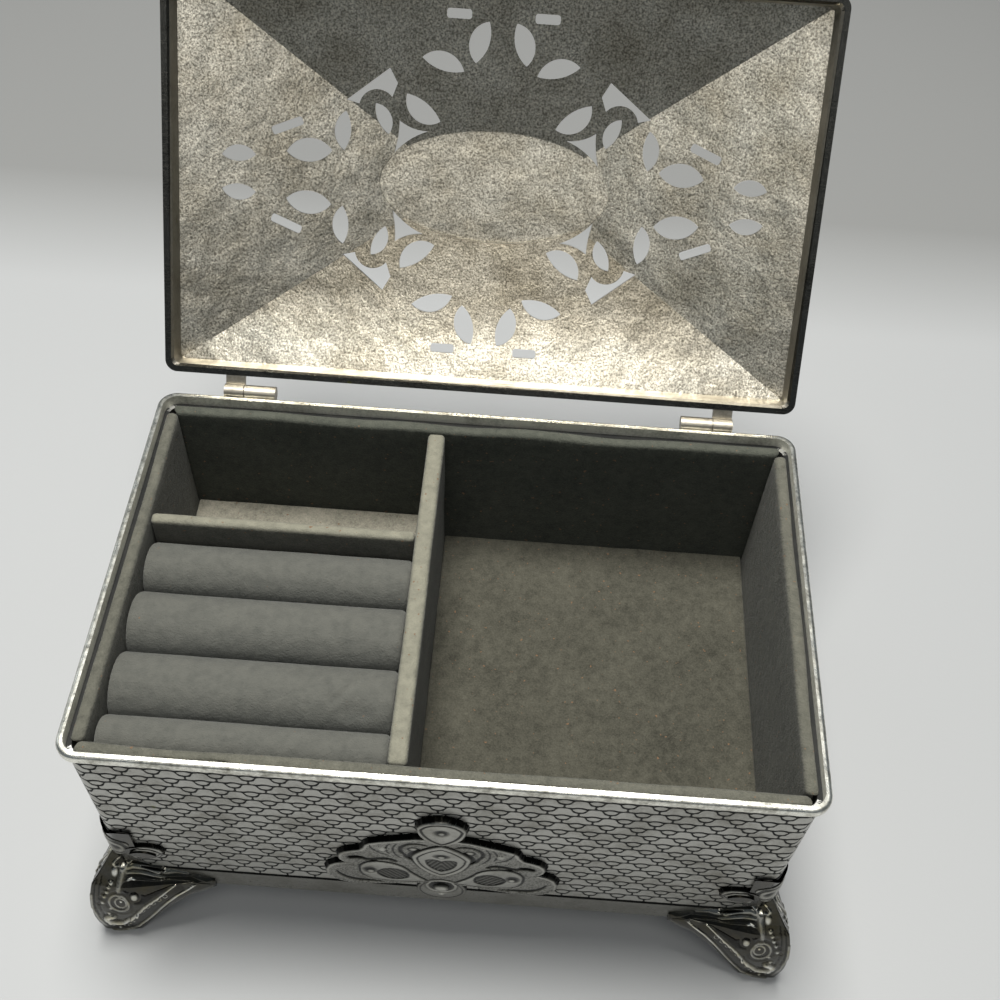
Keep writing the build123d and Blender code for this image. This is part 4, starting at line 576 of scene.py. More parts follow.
def dress(node: str, finish: Material) -> None:
    """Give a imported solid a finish."""
    NODES[node].data.materials.clear()
    NODES[node].data.materials.append(finish)


def dress_by_place(node: str, finishes: list[Material], choose: Callable[[Vector, Vector], int]) -> None:
    """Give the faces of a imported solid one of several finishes.

    Args:
        node: Name of the solid's node.
        finishes: Materials that it gets.
        choose: Picks a finish's number from a face's middle and its normal.
    """
    mesh = NODES[node].data
    mesh.materials.clear()
    for finish in finishes:
        mesh.materials.append(finish)
    for face in mesh.polygons:
        face.material_index = choose(face.center, face.normal)


def grid_faces(wide: int, tall: int, first: int = 0, closed: bool = False, capped: bool = False) -> Faces:
    """Faces of a grid of points that are numbered column by column.

    Args:
        wide: Number of columns.
        tall: Number of points in a column.
        first: Number of the first point.
        closed: Whether each column is a ring.
        capped: Whether one more face closes each end.

    Returns:
        The faces.
    """
    faces: Faces = []
    for i in range(wide - 1):
        for j in range(tall if closed else tall - 1):
            a, b = (first + i * tall + k % tall for k in (j, j + 1))
            faces.append((a, a + tall, b + tall, b))
    if capped:
        last = first + (wide - 1) * tall
        faces.append(tuple(range(first, first + tall)))
        faces.append(tuple(reversed(range(last, last + tall))))
    return faces


EDGE_SHARES = (0.0, 0.22, 0.55)


def soft_steps(low: float, high: float, radius: float, step: float) -> list[float]:
    """Grid places along one side of a rounded block, closer at its ends.

    Args:
        low: Lower end.
        high: Upper end.
        radius: Rounding of the edges.
        step: Distance between places in the middle.

    Returns:
        The places, in order.
    """
    count = max(1, round((high - low - 2 * radius) / step))
    middle = np.linspace(low + radius, high - radius, count + 1)
    ends = [radius * share for share in EDGE_SHARES]
    return [low + e for e in ends] + list(middle) + [high - e for e in reversed(ends)]


def soft_block(low: Vector, high: Vector, radius: float, step: float) -> tuple[Points, Faces]:
    """Closed block with rounded edges and an even grid of faces.

    Args:
        low: Lowest corner.
        high: Highest corner.
        radius: Rounding of the edges.
        step: Size of the faces.

    Returns:
        Points and faces.
    """
    radius = min(radius, *(0.49 * (high[k] - low[k]) for k in range(3)))
    grid = [soft_steps(low[k], high[k], radius, step) for k in range(3)]
    index: dict[tuple[int, int, int], int] = {}
    points: Points = []
    faces: Faces = []

    def corner(key: tuple[int, int, int]) -> int:
        """Number of the point at a grid place, made on first use.

        Args:
            key: Number of the place along each axis.

        Returns:
            The point's number.
        """
        if key not in index:
            raw = Vector([grid[k][key[k]] for k in range(3)])
            core = Vector([min(max(raw[k], low[k] + radius), high[k] - radius) for k in range(3)])
            out = raw - core
            index[key] = len(points)
            points.append(tuple(core + out.normalized() * radius if out.length > 1e-9 else raw))
        return index[key]

    for axis in range(3):
        a, b = (axis + 1) % 3, (axis + 2) % 3
        for end in (0, len(grid[axis]) - 1):
            for i in range(len(grid[a]) - 1):
                for j in range(len(grid[b]) - 1):
                    ring = []
                    for di, dj in ((0, 0), (1, 0), (1, 1), (0, 1)):
                        key = [0, 0, 0]
                        key[axis], key[a], key[b] = end, i + di, j + dj
                        ring.append(corner(tuple(key)))
                    faces.append(tuple(ring if end else reversed(ring)))
    return points, faces


def uneven(points: Points, size: float, amount: float, seed: float) -> Points:
    """Points moved a little by smooth noise, as cloth over card lies.

    Args:
        points: Points to move.
        size: Width of one swelling.
        amount: Largest move.
        seed: Offset that picks another pattern.

    Returns:
        The moved points.
    """
    offset = Vector((seed, seed * 1.7, seed * 0.3))
    return [tuple(Vector(p) + noise.noise_vector(Vector(p) / size + offset) * amount) for p in points]


# Carved surfaces


def bow(start: Spot, middle: Spot, end: Spot, count: int = 12) -> Chain:
    """Points along the circle arc through three points.

    Args:
        start: First point.
        middle: Point passed on the way.
        end: Last point.
        count: Number of runs.

    Returns:
        The points, both ends included.
    """
    a, b, c = (complex(*p) for p in (start, middle, end))
    turn = (c - a) / (b - a)
    if abs(turn.imag) < 1e-6:
        return [tuple(p + (q - p) * k / count for p, q in zip(start, end)) for k in range(count + 1)]
    centre = (b - a) * (turn - abs(turn) ** 2) / (2j * turn.imag) + a
    from_angle, via_angle, to_angle = (cmath.phase(p - centre) for p in (a, b, c))
    full = 2 * math.pi
    ahead = (to_angle - from_angle) % full
    if (via_angle - from_angle) % full > ahead:
        ahead -= full
    radius = abs(a - centre)
    return [(centre.real + radius * math.cos(from_angle + ahead * k / count),
             centre.imag + radius * math.sin(from_angle + ahead * k / count)) for k in range(count + 1)]


def bows(*spots: Spot) -> Chain:
    """Circle arcs joined end to end.

    Args:
        *spots: First point, and then for each arc a point passed on the way and its end.

    Returns:
        The points of all the arcs.
    """
    return [point for k in range(0, len(spots) - 2, 2) for point in bow(*spots[k:k + 3])]


def in_metres(points: Chain) -> Chain:
    """Points of a drawing in millimetres, in metres."""
    return [(u * MM, v * MM) for u, v in points]


def within(edge: Field, fade: float) -> Field:
    """Share that grows from 0 at an outline to 1 at a depth of fade millimetres inside it."""
    return np.clip(-edge / (fade * MM), 0, 1)


def by_edge(edge: Field, width: float) -> Field:
    """Share that falls from 1 at an outline to 0 at a depth of width millimetres inside it."""
    return np.clip(1 + edge / (width * MM), 0, 1)


def stripe(edge: Field, inset: float, half: float) -> Field:
    """Share that is 1 on a line inset millimetres inside an outline, and 0 half millimetres off it."""
    return np.clip(1 - np.abs(edge + inset * MM) / (half * MM), 0, 1)


class Carving:
    """Heights and darkness over a drawing, worked with a carver's marks. The darkness is the black of the
    hollows, and painted highlights and painted shade.

    The grid and the heights are in metres. The places and sizes of the marks
    are given in millimetres, as they are drawn.
    """

    def __init__(self, u: Field, v: Field) -> None:
        """Start a smooth ground.

        Args:
            u: Place across of each grid point.
            v: Place upwards of each grid point.
        """
        self.u = u
        self.v = v
        self.height = np.zeros_like(u)
        self.light = np.full_like(u, 0.6)

    def line(self, points: Chain) -> tuple[Field, Field]:
        """Distance to a line in metres, and the nearest place along it.

        Args:
            points: Points of the line.

        Returns:
            Distance and share of the way along.
        """
        best = np.full_like(self.u, 1e3)
        place = np.zeros_like(self.u)
        spots = in_metres(points)
        runs = [math.dist(p, q) for p, q in zip(spots, spots[1:])]
        total, gone = sum(runs), 0.0
        for (a, b), run in zip(zip(spots, spots[1:]), runs):
            if run < 1e-9:
                continue
            du, dv = b[0] - a[0], b[1] - a[1]
            share = np.clip(((self.u - a[0]) * du + (self.v - a[1]) * dv) / run ** 2, 0, 1)
            away = np.hypot(self.u - a[0] - share * du, self.v - a[1] - share * dv)
            nearer = away < best
            best = np.where(nearer, away, best)
            place = np.where(nearer, (gone + share * run) / total, place)
            gone += run
        return best, place

    def inside(self, outline: Chain) -> Field:
        """Signed distance in metres to a closed outline, negative inside it.

        Args:
            outline: Points round the outline.

        Returns:
            The distance of each grid point.
        """
        crossed = np.zeros(self.u.shape, bool)
        ring = outline + outline[:1]
        spots = in_metres(ring)
        for (a, b), (c, d) in zip(spots, spots[1:]):
            if b != d:
                across = a + (self.v - b) * (c - a) / (d - b)
                crossed ^= ((b > self.v) != (d > self.v)) & (self.u < across)
        away, _ = self.line(ring)
        return np.where(crossed, -away, away)

    def away(self, u: float, v: float, stretch: float = 1.0) -> Field:
        """Distance in metres to a place, less upwards where what stands there is stretched."""
        return np.hypot(self.u - u * MM, (self.v - v * MM) / stretch)

    def shade(self, share: Field, value: float) -> None:
        """Blend the darkness towards a value where share is near 1."""
        self.light = self.light * (1 - share) + value * share

    def ridge(self, points: Chain, half: float, height: float, light: float = 1.0,
              taper: float = 0.0) -> None:
        """Raise a rounded rib along a line.

        Args:
            points: Points of the rib.
            half: Half of its width.
            height: Height of its back.
            light: Brightness painted on its back; a bright back is a painted highlight.
            taper: Share of the width that is lost at the line's end.
        """
        away, place = self.line(points)
        reach = half * MM * (1 - taper * place)
        bump = np.clip(1 - (away / reach) ** 2, 0, 1)
        self.height += height * MM * np.sqrt(bump) * (1 - 0.5 * taper * place)
        # Paint the back's brightness: a painted highlight where it is bright.
        self.shade(bump, light)

    def groove(self, points: Chain, half: float, depth: float, taper: float = 0.0) -> None:
        """Cut a dark line.

        Args:
            points: Points of the line.
            half: Half of its width.
            depth: Depth of the cut.
            taper: Share of the width that is lost towards both ends.
        """
        away, place = self.line(points)
        reach = half * MM * (1 - taper * np.abs(2 * place - 1) ** 2)
        cut = np.clip(1.25 * (1 - (away / reach) ** 2), 0, 1)
        self.height -= depth * MM * cut
        self.shade(cut, 0.0)

    def ball(self, u: float, v: float, radius: float, height: float, light: float = 1.0,
             stretch: float = 1.0) -> None:
        """Set a round knob, or press one in where the height is negative.

        Args:
            u: Place of its middle across.
            v: Place of its middle upwards.
            radius: Radius across.
            height: Height of the knob.
            light: Brightness painted on the knob, most at its middle; a bright knob gets a painted highlight.
            stretch: How much taller it is than wide.
        """
        bump = np.sqrt(np.clip(1 - (self.away(u, v, stretch) / (radius * MM)) ** 2, 0, 1))
        self.height += height * MM * bump
        # Paint the knob's brightness, most at its middle: a painted highlight where it is bright.
        self.shade(np.clip(1.25 * bump ** 2, 0, 1), light)

    def ring(self, u: float, v: float, radius: float, half: float, height: float, light: float,
             stretch: float = 1.0) -> None:
        """Raise or cut a ring round a middle.

        Args:
            u: Place of its middle across.
            v: Place of its middle upwards.
            radius: Radius of the ring's back.
            half: Half of the ring's width.
            height: Height of its back, negative for a cut.
            light: Brightness painted on its back; a bright back is a painted highlight.
            stretch: How much taller it is than wide.
        """
        beside = self.away(u, v, stretch) - radius * MM
        bump = np.clip(1 - (beside / (half * MM)) ** 2, 0, 1)
        self.height += height * MM * bump
        # Paint the back's brightness: a painted highlight where it is bright.
        self.shade(bump, light)

    def hatch(self, region: Field, pitch: float, lean: float, depth: float) -> None:
        """Fill a region with fine slanting cuts.

        Args:
            region: Signed distance to the region's outline.
            pitch: Distance between cuts.
            lean: Angle of the cuts in radians.
            depth: Depth of the cuts.
        """
        across = self.u * math.cos(lean) + self.v * math.sin(lean)
        wave = np.cos(2 * math.pi * across / (pitch * MM))
        share = within(region, 0.25)
        self.height -= share * (depth * MM) * (1.4 - wave)
        self.shade(share, 0.0)
        self.light = self.light + share * (0.1 + 0.28 * np.clip(wave, 0, 1))

    def stipple(self, share: Field, depth: float, seed: int) -> None:
        """Roughen the ground with small punch marks.

        Args:
            share: Where the marks lie, from 0 to 1.
            depth: Depth of the marks.
            seed: Number that fixes their places.
        """
        marks = np.random.default_rng(seed).random(self.u.shape) ** 3
        self.height -= share * (depth * MM) * marks
        self.light = self.light - share * 0.45 * marks


@dataclass
class WallRelief:
    """Carved plate on a wall of the case, cut out along an outline.

    Points up to snap_reach steps from the outline are moved onto it. Faces
    whose nearest corner is less than keep_reach steps outside it are kept, and
    points more than sink_reach steps outside it go down into the wall. The
    sides that look up get painted shade, whose width is in millimetres, as the
    drawing is, and the black sheet beyond the outline is a painted shadow.
    """

    wall: "ScaleWall"
    step: float = 0.26 * MM
    sink: float = 0.45 * MM
    snap_reach: float = 0.55
    sink_reach: float = 0.45
    keep_reach: float = 0.3
    shadow_height: float = 0.3 * MM
    shadow_from: float = 0.02 * MM
    round_depth: float = 0.3 * MM
    shaded_side_width: float = 0.28

    def grid(self, low: Spot, high: Spot) -> Carving:
        """Even drawing grid.

        Args:
            low: Lowest place across and upwards in millimetres.
            high: Highest place across and upwards in millimetres.

        Returns:
            A carving on that grid.
        """
        axes = [np.arange(a * MM, b * MM + self.step, self.step) for a, b in zip(low, high)]
        return Carving(*np.meshgrid(*axes, indexing="ij"))

    def snap(self, carving: Carving, edge: Field) -> tuple[Field, Field]:
        """Move the grid points nearest to an edge onto it.

        Args:
            carving: Carving whose grid is moved.
            edge: Signed distance to the edge.

        Returns:
            The distance after the move, 0 on the edge, and its slope upwards.
        """
        slope_u, slope_v = np.gradient(edge, self.step)
        near = np.abs(edge) < self.snap_reach * self.step
        carving.u = np.where(near, carving.u - edge * slope_u, carving.u)
        carving.v = np.where(near, carving.v - edge * slope_v, carving.v)
        return np.where(near, 0.0, edge), slope_v

    def finish_off(self, grid: Carving, art: Carving, edge: Field, rise: Field, width: float) -> None:
        """Round the plate off, paint shade on its sides that look up, and lay a painted shadow round it.

        Args:
            grid: Grid that takes the heights.
            art: Finished carving.
            edge: Signed distance to the edge.
            rise: Slope of that distance upwards.
            width: Width of the rounding in millimetres.
        """
        art.height -= self.round_depth * by_edge(edge, width) ** 2
        # Painted shade on the sides that look up, and beyond the outline a black sheet: a painted shadow.
        art.shade(by_edge(edge, self.shaded_side_width) * np.clip(rise * 3, 0, 1), 0.0)
        beyond = edge > self.shadow_from
        grid.height = np.where(beyond, self.shadow_height, art.height)
        grid.light = np.where(beyond, 0.0, art.light)

    def piece(self, name: str, carving: Carving, edge: Field, along: float, finish: Material,
              slot: Slot) -> Piece:
        """Mesh of the plate, closed at its back inside the wall.

        Args:
            name: Name of the piece.
            carving: Heights and darkness of the plate.
            edge: Signed distance to the plate's outline.
            along: Place of the drawing's middle round the case.
            finish: Material of the plate.
            slot: Material slot that it stands for.

        Returns:
            The piece.
        """
        self.snap(carving, edge)
        out = np.where(edge > self.sink_reach * self.step, -self.sink, carving.height)
        corners = [edge[:-1, :-1], edge[1:, 1:], edge[1:, :-1], edge[:-1, 1:]]
        lowest = np.minimum.reduce(corners)
        mesh = bmesh.new()
        spots: dict[tuple[int, int], bmesh.types.BMVert] = {}
        light: list[float] = []
        for i, j in zip(*np.nonzero(lowest < self.keep_reach * self.step)):
            ring = []
            for key in ((i, j), (i + 1, j), (i + 1, j + 1), (i, j + 1)):
                if key not in spots:
                    place = self.wall.on_wall(along + carving.u[key], carving.v[key], out[key])
                    spots[key] = mesh.verts.new(place)
                    light.append(float(carving.light[key]) if out[key] > -self.sink else 0.0)
                ring.append(spots[key])
            mesh.faces.new(ring)
        border = [e for e in mesh.edges if e.is_boundary]
        bmesh.ops.holes_fill(mesh, edges=border, sides=0)
        bmesh.ops.recalc_face_normals(mesh, faces=mesh.faces)
        return add_piece(name, mesh, finish, slot, light)


# Case


@dataclass
class ScaleWall:
    """Fish scale plates that cover the four walls of the case.

    A tile is drawn by the columns of its right half: how far each stands from
    the tile's middle, and its lowest and highest place, in millimetres.
    """

    rim_overhang: float = 1.5 * MM
    corner: float = 3.6 * MM
    bottom: float = 29.1 * MM
    top: float = 87.7 * MM
    period: float = 6.82 * MM
    row_pitch: float = 4.05 * MM
    first_row: float = 85.5 * MM
    phase: float = -0.93 * MM
    proud: float = 0.16 * MM
    bevel: float = 0.05 * MM
    root: float = 0.05 * MM
    sliver: float = 0.4 * MM
    plate: tuple[Place, ...] = (
        (0.0, 0.36, 3.45), (0.5, 0.33, 3.45), (0.9, 0.22, 3.42), (1.25, 0.08, 3.28), (1.55, 0.0, 2.9),
        (1.85, 0.0, 2.15), (2.1, 0.0, 1.65), (2.4, 0.0, 1.42), (2.85, 0.02, 1.32), (3.08, 0.15, 1.15),
        (3.2, 0.4, 0.9))
    lens: tuple[Place, ...] = (
        (0.0, -2.12, -0.4), (0.5, -2.07, -0.43), (0.9, -1.88, -0.54), (1.2, -1.5, -0.72),
        (1.5, -1.15, -0.95))

    def __post_init__(self) -> None:
        """Work out the walls from the case's packed box."""
        low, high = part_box("case_body")
        self.half_x = (high.x - low.x) / 2 - self.rim_overhang
        self.half_y = (high.y - low.y) / 2 - self.rim_overhang
        long, short = 2 * (self.half_x - self.corner), 2 * (self.half_y - self.corner)
        bend = self.corner * math.pi / 2
        self.around = 2 * (long + short) + 4 * bend
        self.runs = (long / 2, bend, short, bend, long, bend, short, bend, long / 2)
        self.count = round(self.around / self.period)
        self.width = self.around / self.count
        self.corners = [(long + bend) / 2]
        for straight in (short, long, short):
            self.corners.append(self.corners[-1] + straight + bend)

    def station(self, along: float) -> tuple[Vector, Vector]:
        """Place on the wall seen from above, and the way out of it.

        Args:
            along: Distance round the case from the middle of the front, to the right.

        Returns:
            The place and the outward direction.
        """
        along %= self.around
        spot = Vector((0.0, -self.half_y))
        heading = 0.0
        normal = Vector((0.0, -1.0))
        for number, length in enumerate(self.runs):
            used = min(along, length)
            if number % 2:
                centre = spot - normal * self.corner
                heading += used / self.corner
                normal = Vector((math.sin(heading), -math.cos(heading)))
                spot = centre + normal * self.corner
            else:
                spot = spot + Vector((math.cos(heading), math.sin(heading))) * used
            along -= used
            if along <= 0:
                break
        return spot, normal

    def on_wall(self, along: float, height: float, out: float) -> Place:
        """Point of the wall, from its place round the case, its height and its distance out."""
        spot, normal = self.station(along)
        return (spot.x + normal.x * out, spot.y + normal.y * out, height)

    @staticmethod
    def columns(half: tuple[Place, ...]) -> list[Place]:
        """Columns of a whole tile in metres, from those of its right half."""
        right = [(u * MM, low * MM, high * MM) for u, low, high in half]
        return [(-u, low, high) for u, low, high in reversed(right[1:])] + right

    def add_tile(self, points: Points, faces: Faces, columns: list[Place],
                 along: float, height: float) -> None:
        """Add one raised tile, cut off at the borders of the field.

        Args:
            points: Points so far.
            faces: Faces so far.
            columns: Columns of the tile.
            along: Place of its middle round the case.
            height: Height of its lower corners.
        """
        if height + max(b for _, _, b in columns) <= self.bottom + self.sliver:
            return
        if height + min(a for _, a, _ in columns) >= self.top - self.sliver:
            return
        first = len(points)
        edge_out = self.proud - self.bevel
        for number, (u, low, high) in enumerate(columns):
            spot, normal = self.station(along + u)
            low = min(max(height + low, self.bottom), self.top)
            high = min(max(height + high, self.bottom), self.top)
            slope = min(self.bevel, (high - low) / 3)
            top_out = edge_out if number in (0, len(columns) - 1) else self.proud
            profile = ((low, -self.root), (low, edge_out), (low + slope, top_out),
                       (high - slope, top_out), (high, edge_out), (high, -self.root))
            points += [(spot.x + normal.x * out, spot.y + normal.y * out, z) for z, out in profile]
        faces += grid_faces(len(columns), len(profile), first, capped=True)

    def build(self, finish: Material) -> Piece:
        """Lay the plates round the case.

        Args:
            finish: Material of the plates.

        Returns:
            The piece.
        """
        points: Points = []
        faces: Faces = []
        tiles = [self.columns(half) for half in (self.plate, self.lens)]
        rows = math.ceil((self.first_row + self.row_pitch * 2 - self.bottom) / self.row_pitch) + 1
        for row in range(-1, rows):
            height = self.first_row - row * self.row_pitch
            for step in range(self.count):
                along = (step + 0.5 * (row % 2)) * self.width + self.phase
                for tile in tiles:
                    self.add_tile(points, faces, tile, along, height)
        return add_piece("scale_plates", shape_of(points, faces), finish, Slot.SILVER_CASE, smooth=False)


@dataclass
class Case:
    """Cast case with its plated walls, rim and band."""

    band_top: float = 28.2 * MM
    rim_bottom: float = 88.0 * MM
    wall: float = 2.4 * MM
    level: float = 0.6

    def dress(self, finishes: list[Material]) -> None:
        """Give the casting its finishes by place.

        Args:
            finishes: Finish of the rim, of the ground between the plates, of the inner
                faces, of the band and of the rim's mouth.
        """
        _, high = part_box("case_body")

        def choose(middle: Vector, normal: Vector) -> int:
            """Finish of a face.

            Args:
                middle: Middle of the face.
                normal: Direction that it looks in.

            Returns:
                Number of the finish.
            """
            if middle.z >= self.rim_bottom:
                inward = middle.x * normal.x + middle.y * normal.y < 0
                return 4 if inward and abs(normal.z) < self.level else 0
            if abs(middle.x) < high.x - self.wall and abs(middle.y) < high.y - self.wall:
                return 2
            return 1 if middle.z > self.band_top else 3

        dress_by_place("case_body", finishes, choose)


@dataclass
class Cartouche:
    """Scroll ornament in the middle of the front wall.

    The drawing, and each field without MM, is in millimetres: across from
    the ornament's middle and upwards from the floor. The left half mirrors
    the right one.
    """

    wall: ScaleWall
    low: Spot = (-31, 22.5)
    high: Spot = (31, 75.5)
    plate: float = 1.55 * MM
    crest_lift: float = 0.3 * MM
    shield_lift: float = 0.3 * MM
    shield_middle: float = 49.0
    shadow: float = 0.5 * MM
    shadow_from: float = 34.0
    shadow_rise: float = 5.0
    pendant: Spot = (0.0, 30.6)
    pendant_radius: float = 6.1
    rounding: float = 0.5
    milled_top: float = 36.0
    milled_depth: float = 0.08 * MM
    milled_pitch: float = 0.95 * MM
    punches: int = 41

    def outline(self) -> Chain:
        """Right half of the plate, closed across the middle."""
        return [(-3, 61.1), (3.4, 61.1), (6.5, 60.7), (9.0, 59.8), (11.4, 58.8), (14.3, 57.8), (16.8, 56.6),
                (18.0, 55.3), (18.5, 53.6), (19.4, 52.2), (21.3, 51.4), (23.0, 50.5), (24.3, 49.0),
                (24.8, 47.2), (24.5, 45.4), (23.4, 43.9), (25.4, 43.0), (27.2, 41.3), (28.2, 38.6),
                (28.1, 35.8), (26.8, 33.4), (25.0, 31.8), (22.5, 30.9), (18.0, 30.9), (12.0, 32.2),
                (5.5, 33.9), (-3, 34.4)]

    def crest(self) -> Chain:
        """Right half of the eye shaped boss at the top."""
        return [(-3, 71.6), *bows((0, 71.8), (3.4, 70.6), (5.6, 67.8), (4.6, 62.4), (0, 58.6)), (-3, 60.0)]

    def shield(self, share: float) -> Chain:
        """Right half of the shield, or of a line inside it.

        Args:
            share: Size as a share of the shield's.

        Returns:
            Its points, closed across the middle.
        """
        right = bows((0, 58.6), (4.1, 55.7), (7.2, 51.3), (5.3, 44.6), (0, 39.2))
        middle = self.shield_middle
        return [(u * share if u > 0 else u, middle + (v - middle) * share)
                for u, v in [(-3, 58.6), *right, (-3, 39.2)]]

    def carve_crest(self, art: Carving, crest: Field) -> None:
        """Carve the boss with its rim, lens and dimple.

        Args:
            art: Carving to work on.
            crest: Signed distance to the boss's outline.
        """
        on = within(crest, 0.3)
        art.height += on * self.crest_lift
        art.shade(on, 0.8)
        art.groove(bows((0, 70.3), (2.9, 69.5), (4.7, 67.2), (3.2, 62.8), (0, 59.6)), 0.42, 0.15)
        art.ridge(bow((-2.6, 70.9), (0, 71.3), (2.6, 70.9)), 0.35, 0.15)
        art.ball(0, 65.9, 2.1, -0.3, 0.0, 0.95)
        # Painted glint in the dimple.
        art.ball(0.1, 65.4, 0.7, 0.2, 0.8)

    def carve_shield(self, art: Carving, shield: Field) -> None:
        """Carve the shield with its double rim, eye and hatched heart.

        Args:
            art: Carving to work on.
            shield: Signed distance to the shield's outline.
        """
        on = within(shield, 0.35)
        art.height += on * self.shield_lift
        art.shade(on, 0.72)
        art.groove(self.shield(1.0)[1:-1], 0.36, 0.14)
        art.groove(self.shield(0.79)[1:-1], 0.28, 0.12)
        art.ridge(self.shield(0.89)[1:-1], 0.4, 0.1, 0.85)
        heart = bows((-3.5, 49.8), (-1.9, 50.3), (0, 49.1), (1.9, 50.3), (3.5, 49.8), (2.7, 46.0),
                     (0, 43.4), (-2.7, 46.0), (-3.5, 49.8))
        art.hatch(art.inside(heart), 1.1, 0.5, 0.1)
        art.groove(heart, 0.34, 0.1)
        art.ball(0, 52.4, 2.4, -0.15, 0.0, 0.62)
        # Painted glint on the dark eye.
        art.ball(0.1, 52.0, 0.8, 0.25, 1.0, 0.7)

    def carve_fish(self, art: Carving) -> None:
        """Carve the fish shaped bodies below the shield, with a hatched leaf and an eye.

        Args:
            art: Carving to work on.
        """
        fish = bows((19.7, 40.6), (18.6, 44.6), (15.8, 46.2), (11.0, 45.4), (7.6, 41.4), (5.4, 38.4),
                    (3.2, 36.0), (8.5, 34.7), (14.0, 34.9), (18.4, 36.6), (19.7, 40.6))
        body = art.inside(fish)
        art.height += 0.3 * MM * np.sqrt(within(body, 1.2))
        art.shade(within(body, 0.3), 0.66)
        art.groove(fish, 0.36, 0.14)
        leaf = bows((15.4, 40.0), (12.4, 42.8), (8.2, 37.9), (12.4, 36.6), (15.4, 40.0))
        art.hatch(art.inside(leaf), 1.1, -0.7, 0.1)
        art.groove(leaf, 0.36, 0.12)
        art.ball(17.2, 41.1, 2.0, -0.2, 0.0, 1.1)
        # Painted glint on the fish's dark eye.
        art.ball(17.0, 40.4, 0.85, 0.3)

    def carve_horns(self, art: Carving) -> None:
        """Carve the horns beside the shield and the slots round them.

        Args:
            art: Carving to work on.
        """
        art.groove(bows((3.6, 57.6), (8.9, 56.6), (8.7, 51.6), (8.2, 49.8), (7.0, 48.6)), 0.62, 0.25, 0.3)
        art.groove(bow((5.2, 54.9), (7.1, 52.6), (7.6, 48.9)), 0.62, 0.25, 0.4)
        art.ring(6.6, 55.0, 1.2, 0.36, -0.1, 0.0, 0.85)
        art.ball(6.6, 55.0, 0.8, 0.1, 0.8)
        for curve in (((11.9, 57.3), (13.0, 54.2), (12.3, 51.5)), ((10.4, 57.6), (11.3, 53.2), (9.6, 49.4)),
                      ((16.8, 55.8), (15.9, 53.2), (12.6, 50.6))):
            art.groove(bow(*curve), 0.28, 0.1, 0.4)
        art.ball(13.8, 54.0, 1.1, 0.35, 0.95)
        slot = [(21.6, 47.4), (20.2, 47.9), (19.0, 47.7), (17.9, 46.9), (16.6, 47.0), (15.0, 47.7),
                (13.2, 48.1), (12.0, 47.8), (11.0, 46.8)]
        art.groove(slot, 1.0, 0.35, 0.3)
        art.groove([(21.6, 47.4), (20.2, 47.9), (19.2, 47.7)], 1.15, 0.15)
        art.groove([*bow((25.4, 38.4), (23.6, 35.0), (19.4, 33.5)), (14.0, 33.3)], 1.0, 0.35, 0.8)
        art.groove([(27.4, 44.0), (25.4, 43.8), (22.9, 43.9)], 0.65, 0.3, 0.5)

    def carve_pendant(self, art: Carving, disc: Field) -> None:
        """Carve the round pendant with its ring and ball.

        Args:
            art: Carving to work on.
            disc: Signed distance to the pendant's edge.
        """
        u, v = self.pendant
        art.shade(within(disc, 0.3), 0.55)
        art.ring(u, v, self.pendant_radius - 0.8, 0.22, -0.12, 0.0)
        art.ball(u, v + 2.2, 4.6, -0.2, 0.0)
        art.ring(u, v + 2.2, 3.5, 0.4, 0.2, 0.95)
        # Painted highlight on the pendant's middle ball.
        art.ball(u, v + 1.6, 2.0, 1.0)
        art.ball(u, v - 2.6, 0.8, 0.3, 0.9)
        art.groove(bow((-3.3, 36.0), (0, 37.2), (3.3, 36.0)), 0.5, 0.2, 0.4)

    def build(self, finish: Material) -> Piece:
        """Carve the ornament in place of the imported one.

        Args:
            finish: Material of the ornament.

        Returns:
            The piece.
        """
        tool = WallRelief(self.wall)
        grid = tool.grid(self.low, self.high)
        art = Carving(np.abs(grid.u), grid.v)
        plate, crest, shield = (art.inside(line) for line in (self.outline(), self.crest(), self.shield(1.0)))
        disc = art.away(*self.pendant) - self.pendant_radius * MM
        body = np.minimum(np.minimum(plate, crest), disc)
        body, rise = tool.snap(grid, body)
        art.u, art.v = np.abs(grid.u), grid.v
        art.height += self.plate
        art.stipple(within(-np.minimum(shield, crest), 0.3) * within(plate, 0.9), 0.06, self.punches)
        # Painted highlight along the rounded edge, just inside the outline.
        art.shade(stripe(body, 0.55, 0.35), 0.92)
        self.carve_fish(art)
        self.carve_horns(art)
        self.carve_shield(art, shield)
        self.carve_crest(art, crest)
        self.carve_pendant(art, disc)
        milled = stripe(plate, 0.75, 0.45) * (art.v < self.milled_top * MM)
        teeth = np.cos(2 * math.pi * art.u / self.milled_pitch)
        art.height += milled * self.milled_depth * teeth
        art.shade(milled * np.clip(-teeth, 0, 1), 0.05)
        tool.finish_off(grid, art, body, rise, self.rounding)
        # Painted shadow: the black sheet reaches further beyond the upper edges.
        reach = self.shadow * np.clip((art.v - self.shadow_from * MM) / (self.shadow_rise * MM), 0, 1)
        piece = tool.piece("front_scroll", grid, body - reach, 0.0, finish, Slot.SILVER_CASE)
        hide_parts("front_cartouche")
        return piece


# Feet


